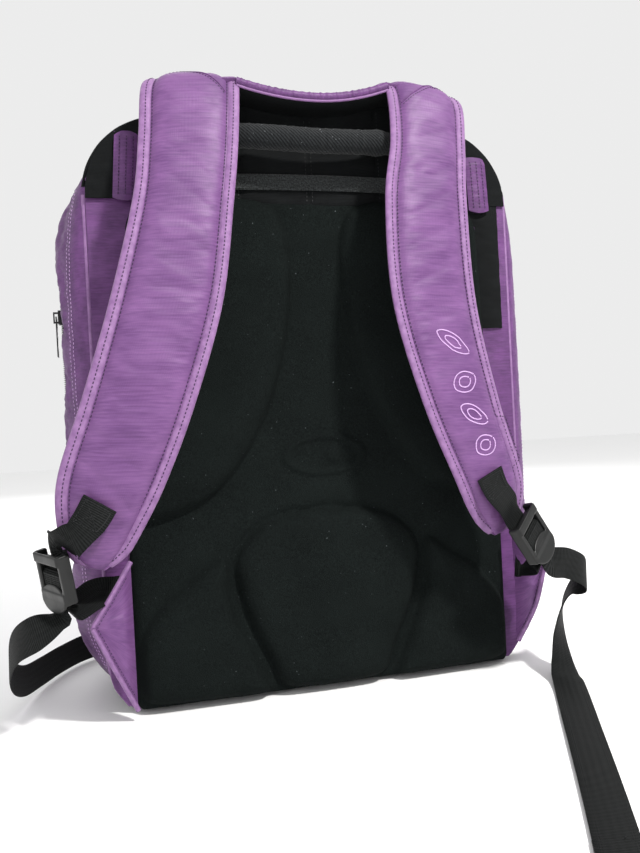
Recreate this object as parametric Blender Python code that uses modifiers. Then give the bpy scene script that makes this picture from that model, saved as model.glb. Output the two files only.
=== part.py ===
"""Racket backpack: a closed bag standing on its base, back panel towards -Y, front towards +Y.

Units are metres. X runs to the right as one looks at the back panel, and Z is up from the base.
"""
import math

import bmesh
import bpy
from mathutils import Matrix, Vector

MM = 0.001
GAP = 0.3 * MM            # left between faces that touch on the real bag

# Body, in its own layers from the wearer's back to the front
BODY_TOP = 468 * MM
BODY_HALF_WIDTH = 178 * MM
BODY_CORNER = 62 * MM
BODY_BACK_Y = -87 * MM
PAD_THICKNESS = 18 * MM
PAD_HALF_WIDTH_LOW = 160 * MM
PAD_HALF_WIDTH_TOP = 150 * MM
PAD_TOP = 408 * MM
WALL = 2.4 * MM
DIVIDER_Y = 8 * MM
RACKET_FRONT_Y = 74 * MM
RACKET_TOP = 440 * MM
RACKET_HALF_WIDTH = 168 * MM
POCKET_DEPTH = 28 * MM
POCKET_HALF_WIDTH = 118 * MM
POCKET_LOW = 46 * MM
POCKET_TOP = 292 * MM
SIDE_DEPTH = 24 * MM
SIDE_Y = (-80 * MM, 56 * MM)
SIDE_Z = (8 * MM, 424 * MM)
BASE_THICKNESS = 4 * MM
RIM = 1.6 * MM            # how far a pocket's rim stands off what it is sewn to

# Zips: a coil under a slider, on a tape over a slot
TAPE_WIDTH = 26 * MM
TAPE_THICKNESS = 1.0 * MM
COIL_WIDTH = 5 * MM
COIL_HEIGHT = 2.2 * MM
SLOT_WIDTH = 7 * MM
SLIDER_LENGTH = 12 * MM
SLIDER_WIDTH = 9 * MM
SLIDER_TOP = 5.2 * MM
PULL_LENGTH = 34 * MM

# Webbing and its ladder locks
WEB_WIDTH = 25 * MM
WEB_THICKNESS = 1.5 * MM
LOCK_BAR = 4 * MM
LOCK_RADIUS = 3.6 * MM    # inside of the webbing's turn round a bar
LOCK_BARS_AT = (0.0, 11 * MM, 23 * MM)
LOCK_HALF_WIDTH = 17 * MM
LOCK_THICKNESS = 4 * MM
LOCK_RELIEF = 3 * MM      # left between the lock's own webbing and the webbing that leaves it
WEB_LEAD = 7 * MM         # how far webbing runs straight before it bends

# Haul handle
HANDLE_RADIUS = 9.5 * MM
HANDLE_PIVOT = (0.0, -99 * MM, 447 * MM)

# Arm straps: inner edge and outer edge, from the yoke to the tip, in millimetres
STRAP_THICKNESS = 13 * MM
STRAP_LEFT = (
    ((-61, -121, 488), (-134, -119, 482)),
    ((-66, -137, 437), (-138, -135, 434)),
    ((-74, -150, 388), (-145, -150, 386)),
    ((-87, -160, 313), (-165, -158, 313)),
    ((-111, -165, 241), (-187, -162, 245)),
    ((-134, -160, 186), (-206, -158, 191)),
    ((-154, -153, 152), (-205, -152, 153)),
    ((-172, -148, 129), (-190, -146, 127)),
)
STRAP_RIGHT = (
    ((62, -121, 488), (129, -117, 482)),
    ((58, -137, 441), (124, -128, 436)),
    ((46, -150, 390), (119, -137, 391)),
    ((44, -160, 311), (121, -141, 311)),
    ((62, -165, 234), (134, -146, 231)),
    ((89, -160, 170), (150, -143, 167)),
    ((112, -150, 131), (140, -143, 127)),
)

# Ladder locks: axis of the top bar, direction of the length, direction of the bars
LOCKS = {
    "left": ((-212, -146, 135), (0.13, 0.15, -0.97), (0.50, -0.85, 0.0)),
    "right": ((142, -161, 133), (0.56, 0.14, -0.81), (0.62, 0.45, 0.60)),
}
# Webbing sewn to each strap's face: route down to the top bar, and the ribbon's width direction
STRAP_WEB = {
    "left": (((-179, -170, 174), (-187, -169.5, 162), (-199, -168, 150)), (0.81, 0.0, -0.58)),
    "right": (((115, -163, 174), (121, -162, 161), (130, -162, 149)), (0.90, 0.1, 0.42)),
}
# Webbing from each lower corner of the bag up to its ladder lock
WING_WEB = {
    "left": (((-160, -108, 99), (-172, -112, 101), (-186, -119, 103)), (-0.1, -0.1, -1.0)),
    "right": (((160, -108, 92), (163, -114, 92), (166, -121, 93)), (0.1, 0.1, 1.0)),
}
WINGS = {
    "left": ((-162, 122), (-162, 34), (-190, 80)),
    "right": ((163, 118), (163, 44), (179, 92)),
}
# Free tails: route points with the ribbon's width direction at each
TAIL_ROUTE = {
    "left": (
        ((-228, -142, 84), (0.50, -0.50, -0.70)),
        ((-243, -124, 72), (0.25, -0.70, -0.65)),
        ((-251, -98, 52), (0.05, -0.60, -0.80)),
        ((-252, -66, 33), (0.0, -0.35, -0.95)),
        ((-248, -30, 20), (0.0, -0.20, -0.98)),
        ((-239, 8, 15), (0.0, -0.10, -1.0)),
        ((-224, 45, 14), (0.0, 0.0, -1.0)),
        ((-203, 78, 14), (0.0, 0.0, -1.0)),
        ((-172, 100, 14), (0.0, 0.0, -1.0)),
        ((-135, 112, 14), (0.0, 0.0, -1.0)),
    ),
    "right": (
        ((186, -152, 95), (0.50, 0.20, 0.80)),
        ((205, -145, 86), (0.30, 0.30, 0.90)),
        ((213, -134, 76), (0.30, 0.50, 0.80)),
        ((206, -123, 66), (0.50, 0.80, 0.30)),
        ((196, -124, 50), (0.60, 0.80, 0.0)),
        ((189, -131, 28), (0.80, 0.60, 0.0)),
        ((183, -145, 8), (0.92, 0.38, 0.0)),
        ((173, -168, 2), (0.92, 0.38, 0.0)),
        ((140, -234, 2), (0.90, 0.43, 0.0)),
        ((92, -330, 2), (0.89, 0.45, 0.0)),
        ((52, -408, 2), (0.89, 0.45, 0.0)),
    ),
}


# ---------------------------------------------------------------- scene, materials and helpers

for old in list(bpy.data.objects):
    bpy.data.objects.remove(old, do_unlink=True)

bag = bpy.data.collections.new("racket_backpack")
cutters = bpy.data.collections.new("cutters")
bpy.context.scene.collection.children.link(bag)
bpy.context.scene.collection.children.link(cutters)


def material(name, colour, roughness, metallic=0.0):
    made = bpy.data.materials.new(name)
    made.use_nodes = True
    shader = made.node_tree.nodes["Principled BSDF"]
    shader.inputs["Base Color"].default_value = (*colour, 1.0)
    shader.inputs["Roughness"].default_value = roughness
    shader.inputs["Metallic"].default_value = metallic
    made.diffuse_color = (*colour, 1.0)
    return made


PURPLE = material("purple_nylon", (0.29, 0.12, 0.42), 0.45)
BLACK = material("black_fabric", (0.015, 0.017, 0.018), 0.85)
FOAM = material("knit_covered_foam", (0.010, 0.013, 0.013), 0.95)
WEBBING = material("black_webbing", (0.02, 0.02, 0.02), 0.7)
ACETAL = material("black_acetal", (0.012, 0.012, 0.012), 0.35)
SHEET = material("frame_sheet", (0.60, 0.62, 0.62), 0.5)
LINING = material("grey_lining", (0.16, 0.15, 0.18), 0.8)
PIPING = material("lilac_piping", (0.45, 0.30, 0.60), 0.5)
ZINC = material("dark_zinc", (0.10, 0.10, 0.11), 0.35, 0.8)


def keep(thing, name, finish):
    """Names an object, gives it its material and puts it in the bag's collection."""
    thing.name = name
    thing.data.name = name
    thing.data.materials.clear()
    thing.data.materials.append(finish)
    bag.objects.link(thing)
    return thing


def mesh_object(name, form, finish, smooth=True):
    form_mesh = bpy.data.meshes.new(name)
    bmesh.ops.recalc_face_normals(form, faces=form.faces)
    form.to_mesh(form_mesh)
    form.free()
    if smooth:
        form_mesh.shade_smooth()
        form_mesh.set_sharp_from_angle(angle=math.radians(35))
    return keep(bpy.data.objects.new(name, form_mesh), name, finish)


def loft(name, rings, finish):
    """A closed solid through rings of the same number of points, with flat ends."""
    form = bmesh.new()
    rows = [[form.verts.new(point) for point in ring] for ring in rings]
    count = len(rows[0])
    for row, following in zip(rows, rows[1:]):
        for i in range(count):
            j = (i + 1) % count
            form.faces.new((row[i], row[j], following[j], following[i]))
    form.faces.new(rows[0][::-1])
    form.faces.new(rows[-1])
    return mesh_object(name, form, finish)


def box(name, low, high, finish, chamfer=0.0):
    form = bmesh.new()
    bmesh.ops.create_cube(form, size=1.0)
    size = Vector(high) - Vector(low)
    middle = (Vector(high) + Vector(low)) / 2
    bmesh.ops.scale(form, vec=size, verts=form.verts)
    bmesh.ops.translate(form, vec=middle, verts=form.verts)
    thing = mesh_object(name, form, finish)
    if chamfer:
        bevel = thing.modifiers.new("edge", "BEVEL")
        bevel.width = chamfer
        bevel.segments = 2
    return thing


def cut(thing, low, high):
    """Cuts a box out of an object with a Boolean modifier."""
    tool = box("cutter_" + thing.name + str(len(cutters.objects)), low, high, BLACK)
    bag.objects.unlink(tool)
    cutters.objects.link(tool)
    tool.hide_render = True
    tool.display_type = "WIRE"
    slot = thing.modifiers.new("slot", "BOOLEAN")
    slot.operation = "DIFFERENCE"
    slot.object = tool


def smooth_route(points, per_span):
    """Points along a Catmull-Rom curve through the given ones."""
    points = [Vector(p) for p in points]
    padded = [2 * points[0] - points[1], *points, 2 * points[-1] - points[-2]]
    route = []
    for a, b, c, d in zip(padded, padded[1:], padded[2:], padded[3:]):
        for step in range(per_span):
            t = step / per_span
            route.append(0.5 * (2 * b + (c - a) * t + (2 * a - 5 * b + 4 * c - d) * t * t
                                + (3 * b - a - 3 * c + d) * t ** 3))
    return [*route, points[-1]]


def ribbon(name, route, sides, finish, width=WEB_WIDTH, thickness=WEB_THICKNESS):
    """A flat strip along a route, with its width direction given at each point."""
    rings = []
    for i, point in enumerate(route):
        ahead = route[min(i + 1, len(route) - 1)] - route[max(i - 1, 0)]
        side = sides[i] - ahead * (sides[i].dot(ahead) / ahead.length_squared)
        side.normalize()
        face = ahead.normalized().cross(side)
        rings.append([point + side * (a * width / 2) + face * (b * thickness / 2)
                      for a, b in ((-1, -1), (1, -1), (1, 1), (-1, 1))])
    return loft(name, rings, finish)


def body_outline(half_width, low, top, corner, steps=6):
    """The bag's arch in X and Z, from its lower left corner over the top to its lower right."""
    arc = [math.pi - i * math.pi / 2 / steps for i in range(steps + 1)]
    left = [(-half_width + corner + corner * math.cos(a), top - corner + corner * math.sin(a)) for a in arc]
    return [(-half_width, low), *left, *[(-x, z) for x, z in reversed(left)], (half_width, low)]


def panel(name, outline, back, front, finish):
    """A flat panel with an outline in X and Z, between two Y values."""
    return loft(name, [[(x, back, z) for x, z in outline], [(x, front, z) for x, z in outline]], finish)


def gusset(name, outline, back, front, finish):
    """A strip that follows an outline, with its thickness inwards."""
    form = bmesh.new()
    near = [form.verts.new((x, back, z)) for x, z in outline]
    far = [form.verts.new((x, front, z)) for x, z in outline]
    for i in range(len(outline) - 1):
        form.faces.new((near[i], near[i + 1], far[i + 1], far[i]))
    strip = bpy.data.meshes.new(name)
    form.to_mesh(strip)
    form.free()
    thing = keep(bpy.data.objects.new(name, strip), name, finish)
    wall = thing.modifiers.new("wall", "SOLIDIFY")
    wall.thickness = WALL
    wall.offset = -1.0
    wall.use_even_offset = True
    return thing


def plateau(t, flat):
    """1 on the flat middle of a bulge and a quarter ellipse down to 0 at its rim."""
    past = max(0.0, (abs(t) - flat) / (1 - flat))
    return math.sqrt(max(0.0, 1 - past * past))


def bowl(name, place, finish, flat_u=0.45, flat_v=0.72, across=10, along=12):
    """A pocket's open shell; place(u, v, height) turns -1..1 and 0..1 into a point."""
    form = bmesh.new()
    us = [math.sin(math.pi / 2 * (2 * i / across - 1)) for i in range(across + 1)]
    vs = [math.sin(math.pi / 2 * (2 * j / along - 1)) for j in range(along + 1)]
    grid = [[form.verts.new(place(u, v, plateau(u, flat_u) * plateau(v, flat_v))) for v in vs] for u in us]
    for i in range(across):
        for j in range(along):
            form.faces.new((grid[i][j], grid[i + 1][j], grid[i + 1][j + 1], grid[i][j + 1]))
    made = bpy.data.meshes.new(name)
    form.to_mesh(made)
    form.free()
    thing = keep(bpy.data.objects.new(name, made), name, finish)
    wall = thing.modifiers.new("wall", "SOLIDIFY")
    wall.thickness = 1.6 * MM
    wall.offset = -1.0
    return thing


def frame_matrix(origin, run, across):
    """Axes of a small part: X along its run, Y across it and Z outwards from what it lies on."""
    run = Vector(run).normalized()
    across = Vector(across).normalized()
    out = run.cross(across)
    turn = Matrix((run, across, out)).transposed().to_4x4()
    return Matrix.Translation(origin) @ turn


# ---------------------------------------------------------------- body of the bag

def back_panel():
    low, high = PAD_HALF_WIDTH_LOW, PAD_HALF_WIDTH_TOP
    outline = [(-low + 12 * MM, 2 * MM), (-low, 14 * MM), (-low + 3 * MM, 130 * MM), (-high, 330 * MM),
               (-high + 10 * MM, PAD_TOP - 22 * MM), (-high + 36 * MM, PAD_TOP)]
    outline = [*outline, *[(-x, z) for x, z in reversed(outline)]]
    pad = panel("back_pad", outline, BODY_BACK_Y - PAD_THICKNESS, BODY_BACK_Y - GAP, FOAM)
    edge = pad.modifiers.new("edge", "BEVEL")
    edge.width = 4 * MM
    edge.segments = 2
    edge.limit_method = "ANGLE"
    edge.angle_limit = math.radians(60)
    box("upper_back_panel", (-128 * MM, -94 * MM, PAD_TOP + 2 * MM), (128 * MM, -90 * MM, 473 * MM), BLACK)
    box("loop_band", (-120 * MM, -96.5 * MM, 411 * MM), (120 * MM, -94.3 * MM, 423 * MM), WEBBING)
    wall_outline = body_outline(BODY_HALF_WIDTH - WALL - GAP, BASE_THICKNESS + GAP, BODY_TOP - WALL - GAP,
                                BODY_CORNER - WALL)
    panel("back_wall", wall_outline, BODY_BACK_Y, BODY_BACK_Y + 2 * MM, BLACK)
    sheet_back = BODY_BACK_Y + 2 * MM + GAP
    box("frame_sheet", (-135 * MM, sheet_back, 16 * MM), (135 * MM, sheet_back + 1.5 * MM, 420 * MM), SHEET)
    sleeve_back = BODY_BACK_Y + 22 * MM
    box("inner_sleeve", (-125 * MM, sleeve_back, 6 * MM), (125 * MM, sleeve_back + 3 * MM, 280 * MM), LINING)


def compartments():
    main = gusset("main_gusset", body_outline(BODY_HALF_WIDTH, BASE_THICKNESS + GAP, BODY_TOP, BODY_CORNER),
                  BODY_BACK_Y, DIVIDER_Y - GAP, BLACK)
    cut(main, (-112 * MM, ZIP_MAIN_Y - SLOT_WIDTH / 2, BODY_TOP - 8 * MM),
        (112 * MM, ZIP_MAIN_Y + SLOT_WIDTH / 2, BODY_TOP + 8 * MM))
    panel("divider", body_outline(BODY_HALF_WIDTH - WALL - GAP, BASE_THICKNESS + GAP, BODY_TOP - WALL - GAP,
                                  BODY_CORNER - WALL), DIVIDER_Y - GAP - 3 * MM, DIVIDER_Y - GAP, BLACK)
    racket = gusset("racket_gusset",
                    body_outline(RACKET_HALF_WIDTH, BASE_THICKNESS + GAP, RACKET_TOP, BODY_CORNER),
                    DIVIDER_Y, RACKET_FRONT_Y, PURPLE)
    cut(racket, (-102 * MM, ZIP_RACKET_Y - SLOT_WIDTH / 2, RACKET_TOP - 8 * MM),
        (102 * MM, ZIP_RACKET_Y + SLOT_WIDTH / 2, RACKET_TOP + 8 * MM))
    panel("racket_cover", body_outline(RACKET_HALF_WIDTH, 2 * MM, RACKET_TOP, BODY_CORNER),
          RACKET_FRONT_Y + GAP, RACKET_FRONT_Y + 3 * MM, PURPLE)
    box("base_panel", (-BODY_HALF_WIDTH, BODY_BACK_Y, 0.0),
        (BODY_HALF_WIDTH, RACKET_FRONT_Y, BASE_THICKNESS), BLACK)


def pockets():
    low, high = POCKET_LOW, POCKET_TOP
    face = RACKET_FRONT_Y + 3 * MM + GAP

    def front_place(u, v, height):
        return (u * POCKET_HALF_WIDTH, face + RIM + height * (POCKET_DEPTH - RIM),
                (low + high) / 2 + v * (high - low) / 2)

    front = bowl("front_pocket", front_place, PURPLE, flat_u=0.86, flat_v=0.84)
    front.data.flip_normals()
    cut(front, (-86 * MM, face + POCKET_DEPTH - 10 * MM, ZIP_FRONT_Z - SLOT_WIDTH / 2),
        (86 * MM, face + POCKET_DEPTH + 10 * MM, ZIP_FRONT_Z + SLOT_WIDTH / 2))
    for name, sign in (("left", -1), ("right", 1)):
        def side_place(u, v, height, sign=sign):
            return (sign * (BODY_HALF_WIDTH + GAP + RIM + height * (SIDE_DEPTH - RIM)),
                    (SIDE_Y[0] + SIDE_Y[1]) / 2 + u * (SIDE_Y[1] - SIDE_Y[0]) / 2,
                    (SIDE_Z[0] + SIDE_Z[1]) / 2 + v * (SIDE_Z[1] - SIDE_Z[0]) / 2)
        side = bowl(name + "_side_pocket", side_place, PURPLE)
        if sign < 0:
            side.data.flip_normals()
        reach = sorted((sign * (BODY_HALF_WIDTH + 14 * MM), sign * (BODY_HALF_WIDTH + 40 * MM)))
        cut(side, (reach[0], ZIP_SIDE_Y - SLOT_WIDTH / 2, 130 * MM), (reach[1], ZIP_SIDE_Y + SLOT_WIDTH / 2, 330 * MM))


def piping(name, half_width, top, corner, y):
    """A welt of covered cord along the arch."""
    curve = bpy.data.curves.new(name, "CURVE")
    curve.dimensions = "3D"
    curve.bevel_depth = 1.7 * MM
    curve.bevel_resolution = 1
    curve.use_fill_caps = True
    line = curve.splines.new("POLY")
    outline = body_outline(half_width, 8 * MM, top, corner, steps=7)
    line.points.add(len(outline) - 1)
    for point, (x, z) in zip(line.points, outline):
        point.co = (x, y, z, 1.0)
    keep(bpy.data.objects.new(name, curve), name, PIPING)


# ---------------------------------------------------------------- zips

ZIP_MAIN_Y = -30 * MM
ZIP_RACKET_Y = 40 * MM
ZIP_FRONT_Z = 236 * MM
ZIP_SIDE_Y = -12 * MM
FRONT_FACE = RACKET_FRONT_Y + 3 * MM + GAP + POCKET_DEPTH
SIDE_FACE = BODY_HALF_WIDTH + GAP + SIDE_DEPTH
# name: middle of the tape, run, across (out is run x across), half length, slider stations
ZIPS = {
    "main": ((0, ZIP_MAIN_Y, BODY_TOP), (1, 0, 0), (0, 1, 0), 114 * MM, (-9 * MM, 9 * MM)),
    "racket": ((0, ZIP_RACKET_Y, RACKET_TOP), (1, 0, 0), (0, 1, 0), 104 * MM, (90 * MM,)),
    "front": ((0, FRONT_FACE, ZIP_FRONT_Z), (1, 0, 0), (0, 0, -1), 88 * MM, (78 * MM,)),
    "left_side": ((-SIDE_FACE, ZIP_SIDE_Y, 230 * MM), (0, 0, 1), (0, 1, 0), 102 * MM, (92 * MM,)),
    "right_side": ((SIDE_FACE, ZIP_SIDE_Y, 230 * MM), (0, 0, 1), (0, -1, 0), 102 * MM, (92 * MM,)),
}


def zip_track(name, origin, run, across, half_length):
    """Tape with its closed coil as a low ridge along the middle."""
    half, coil, rise = TAPE_WIDTH / 2, COIL_WIDTH / 2, TAPE_THICKNESS + COIL_HEIGHT
    section = [(-half, 0), (half, 0), (half, TAPE_THICKNESS), (coil, TAPE_THICKNESS), (coil * 0.7, rise),
               (-coil * 0.7, rise), (-coil, TAPE_THICKNESS), (-half, TAPE_THICKNESS)]
    place = frame_matrix(origin, run, across)
    rings = [[place @ Vector((s, w, n + GAP)) for w, n in section] for s in (-half_length, half_length)]
    return loft(name, rings, BLACK)


def evaluated_mesh(thing):
    graph = bpy.context.evaluated_depsgraph_get()
    return bpy.data.meshes.new_from_object(thing.evaluated_get(graph))


def slider_mesh():
    """Slider body over the coil, with a bridge for the pull, joined by Booleans."""
    half, side = SLIDER_LENGTH / 2, SLIDER_WIDTH / 2
    low = TAPE_THICKNESS + GAP * 2
    body = box("slider_blank", (-half, -side, low), (half, side, SLIDER_TOP), ZINC, chamfer=0.5 * MM)
    cut(body, (-half - MM, -COIL_WIDTH / 2 - 0.5 * MM, 0), (half + MM, COIL_WIDTH / 2 + 0.5 * MM,
        TAPE_THICKNESS + COIL_HEIGHT + 0.8 * MM))
    bridge = box("slider_bridge", (-4.8 * MM, -1.2 * MM, SLIDER_TOP - 0.4 * MM),
                 (4.8 * MM, 1.2 * MM, SLIDER_TOP + 4 * MM), ZINC)
    bag.objects.unlink(bridge)
    cutters.objects.link(bridge)
    bridge.hide_render = True
    bridge.display_type = "WIRE"
    union = body.modifiers.new("bridge", "BOOLEAN")
    union.operation = "UNION"
    union.object = bridge
    cut(body, (-3.4 * MM, -2 * MM, SLIDER_TOP + 0.2 * MM), (3.4 * MM, 2 * MM, SLIDER_TOP + 2.8 * MM))
    made = evaluated_mesh(body)
    bpy.data.objects.remove(body)
    return made


def pull_mesh():
    """Pull tab: a crossbar under the bridge, two arms and a flat tab, in one outline."""
    thick = 1.1 * MM
    rise = SLIDER_TOP + 1.5 * MM
    arm, wide, eye, tip = 3.1 * MM, 4.6 * MM, 9 * MM, PULL_LENGTH
    tab = box("pull_blank", (-0.7 * MM, -wide, rise - thick / 2), (tip, wide, rise + thick / 2), ZINC,
              chamfer=0.3 * MM)
    cut(tab, (0.7 * MM, -arm, 0), (eye, arm, 0.02))
    made = evaluated_mesh(tab)
    bpy.data.objects.remove(tab)
    return made


def zips():
    slider, pull = slider_mesh(), pull_mesh()
    for name, (origin, run, across, half_length, stations) in ZIPS.items():
        zip_track(name + "_zip_track", origin, run, across, half_length)
        for number, station in enumerate(stations):
            suffix = "" if len(stations) == 1 else ("_a", "_b")[number]
            spot = Vector(origin) + Vector(run) * station
            flip = -1 if (station < 0 or name.endswith("side")) else 1
            place = frame_matrix(spot, Vector(run) * flip, Vector(across) * flip)
            for piece, data, finish in (("slider", slider, ZINC), ("pull", pull, ZINC)):
                thing = bpy.data.objects.new(piece, data.copy())
                keep(thing, f"{name}_zip_{piece}{suffix}", finish)
                thing.data.transform(place)


# ---------------------------------------------------------------- harness

def strap(name, stations):
    """A padded arm strap with a rounded section, lofted through its stations."""
    inner = smooth_route([Vector(a) * MM for a, _ in stations], 3)
    outer = smooth_route([Vector(b) * MM for _, b in stations], 3)
    rings = []
    for i, (a, b) in enumerate(zip(inner, outer)):
        last = len(inner) - 1
        ahead = (inner[min(i + 1, last)] + outer[min(i + 1, last)] - inner[max(i - 1, 0)] - outer[max(i - 1, 0)])
        side = b - a
        face = side.cross(ahead).normalized()
        if face.y > 0:
            face = -face
        middle, half = (a + b) / 2, side / 2
        ring = []
        for across, out in ((-1, 0.0), (-0.93, 0.6), (-0.6, 1.0), (0.6, 1.0), (0.93, 0.6),
                            (1, 0.0), (0.93, -0.6), (0.6, -1.0), (-0.6, -1.0), (-0.93, -0.6)):
            ring.append(middle + half * across + face * (out * STRAP_THICKNESS / 2))
        rings.append(ring)
    return loft(name, rings, PURPLE)


def yoke():
    """The saddle that joins the straps over the top of the back."""
    rings = []
    for step in range(17):
        x = (-134 + 264 * step / 16) * MM
        rise = min(1.0, (abs(x) / (62 * MM))) ** 2
        edge, crown, back = (476 + 14.5 * rise) * MM, (485 + 13 * rise) * MM, (478 + 6 * rise) * MM
        outer = [(-125 * MM, edge), (-122 * MM, crown - 3 * MM), (-112 * MM, crown), (-92 * MM, crown - 1 * MM),
                 (-68 * MM, back)]
        inner = [(-68 * MM, back - 8 * MM), (-92 * MM, crown - 9 * MM), (-108 * MM, crown - 9 * MM),
                 (-115 * MM, crown - 11 * MM), (-116.5 * MM, edge)]
        rings.append([(x, y, z) for y, z in [*outer, *inner]])
    loft("yoke", rings, PURPLE)


def haul_handle():
    """Stuffed knitted tube, bowed out from the back and sewn in at both ends."""
    curve = bpy.data.curves.new("haul_handle", "CURVE")
    curve.dimensions = "3D"
    curve.bevel_depth = HANDLE_RADIUS
    curve.bevel_resolution = 3
    curve.use_fill_caps = True
    line = curve.splines.new("POLY")
    ends = [(-84, -107, 447), (-66, -115, 447.5), (-34, -119, 446), (0, -120, 444.5), (34, -119, 445),
            (66, -115, 446), (84, -107, 446)]
    route = smooth_route([Vector(p) * MM for p in ends], 3)
    line.points.add(len(route) - 1)
    for number, (point, spot) in enumerate(zip(line.points, route)):
        reach = abs(2 * number / (len(route) - 1) - 1)
        point.co = (*spot, 1.0)
        point.radius = 1.0 - 0.35 * reach ** 6
    keep(bpy.data.objects.new("haul_handle", curve), "haul_handle", FOAM)
    for name, sign in (("left", -1), ("right", 1)):
        low, high = sorted((sign * 92 * MM, sign * 112 * MM))
        box(name + "_handle_anchor", (low, -97.5 * MM, 432 * MM), (high, -94.3 * MM, 461 * MM), WEBBING)


def lock_axes(side):
    top, length, bars = LOCKS[side]
    down = Vector(length).normalized()
    across = Vector(bars)
    across = (across - down * across.dot(down)).normalized()
    out = across.cross(down)
    if out.y > 0:
        out = -out
    return Vector(top) * MM, down, across, out


def rounded_loop(curve, half_x, low, high, radius):
    spline = curve.splines.new("POLY")
    corners = [(half_x - radius, high - radius, 0), (-half_x + radius, high - radius, 90),
               (-half_x + radius, low + radius, 180), (half_x - radius, low + radius, 270)]
    points = [(x + radius * math.cos(math.radians(start + turn)), y + radius * math.sin(math.radians(start + turn)))
              for x, y, start in corners for turn in (0, 45, 90)]
    spline.points.add(len(points) - 1)
    for point, (x, y) in zip(spline.points, points):
        point.co = (x, y, 0.0, 1.0)
    spline.use_cyclic_u = True


def ladder_lock(side):
    """Three-bar slider, moulded in one piece, with a lip below its lowest bar."""
    top, down, across, out = lock_axes(side)
    curve = bpy.data.curves.new(side + "_ladder_lock", "CURVE")
    curve.dimensions = "2D"
    curve.fill_mode = "BOTH"
    curve.extrude = LOCK_THICKNESS / 2
    half = LOCK_BAR / 2
    inside = WEB_WIDTH / 2 + 0.8 * MM
    rounded_loop(curve, LOCK_HALF_WIDTH, -half, LOCK_BARS_AT[2] + 7 * MM, 2 * MM)
    for above, below in zip(LOCK_BARS_AT, LOCK_BARS_AT[1:]):
        rounded_loop(curve, inside, above + half, below - half, 0.8 * MM)
    thing = keep(bpy.data.objects.new(side + "_ladder_lock", curve), side + "_ladder_lock", ACETAL)
    thing.matrix_world = Matrix.Translation(top) @ Matrix((across, down, across.cross(down))).transposed().to_4x4()


def turn_round(axis_point, open_way, out, leg_front, leg_back, steps=6):
    """Route of webbing that comes in on the front of a bar, turns round it and leaves behind."""
    radius = LOCK_RADIUS + WEB_THICKNESS / 2
    route = [axis_point + open_way * leg_front + out * radius]
    for i in range(steps + 1):
        angle = math.pi * i / steps
        route.append(axis_point - open_way * (radius * math.sin(angle)) + out * (radius * math.cos(angle)))
    return [*route, axis_point + open_way * leg_back - out * radius]


def webbing(side):
    top, down, across, out = lock_axes(side)
    patch, patch_side = STRAP_WEB[side]
    loop = turn_round(top, -down, out, 11 * MM, 7 * MM)
    patch_route = [Vector(p) * MM for p in patch]
    bar_side = across if across.x > 0 else -across
    route = [*smooth_route([*patch_route, loop[0]], 3), *loop[1:]]
    blend_over = len(route) - len(loop)
    sides = [Vector(patch_side).lerp(bar_side, min(1.0, i / blend_over)) for i in range(len(route))]
    ribbon(side + "_strap_webbing", route, sides, WEBBING)

    turn = turn_round(top + down * LOCK_BARS_AT[1], down, out, 22 * MM, 20 * MM)
    ribbon(side + "_webbing_turn", turn, [bar_side] * len(turn), WEBBING)

    wing_route, wing_side = WING_WEB[side]
    end = turn[-1] + down * LOCK_RELIEF
    points = smooth_route([*[Vector(p) * MM for p in wing_route], end + down * WEB_LEAD, end], 3)
    sides = [Vector(wing_side).lerp(bar_side, i / (len(points) - 1)) for i in range(len(points))]
    ribbon(side + "_lower_webbing", points, sides, WEBBING)

    start = turn[0] + down * LOCK_RELIEF
    stations = TAIL_ROUTE[side]
    points = smooth_route([start, start + down * WEB_LEAD, *[Vector(p) * MM for p, _ in stations]], 4)
    ways = smooth_route([bar_side, bar_side, *[Vector(w) for _, w in stations]], 4)
    ribbon(side + "_tail", points, ways, WEBBING)


def wings():
    for side, corners in WINGS.items():
        outline = [(x * MM, z * MM) for x, z in corners]
        panel(side + "_wing", outline, -104.5 * MM, -102 * MM, PURPLE)


back_panel()
compartments()
pockets()
piping("back_piping", BODY_HALF_WIDTH + 2.1 * MM, BODY_TOP + 2.1 * MM, BODY_CORNER + 2 * MM, BODY_BACK_Y + 3 * MM)
piping("front_piping", RACKET_HALF_WIDTH + 2.1 * MM, RACKET_TOP + 2.1 * MM, BODY_CORNER + 2 * MM,
       RACKET_FRONT_Y - 3 * MM)
zips()
strap("left_strap", STRAP_LEFT)
strap("right_strap", STRAP_RIGHT)
yoke()
haul_handle()
for lock_side in ("left", "right"):
    ladder_lock(lock_side)
    webbing(lock_side)
wings()
bpy.context.view_layer.update()
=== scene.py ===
# %% [markdown]
# # A racket backpack, seen from its wearer's side
# The bag's hard points, hinges and sizes come from a CAD frame. This file makes what one sees on it:
# moulded foam, puckered nylon, webbing, binding, stitches and zips. Every piece is named after the
# part that it is on the real bag.

# %% The frame, and where everything is
import math

import bmesh
import bpy
import numpy as np
from mathutils import Matrix, Vector


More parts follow.
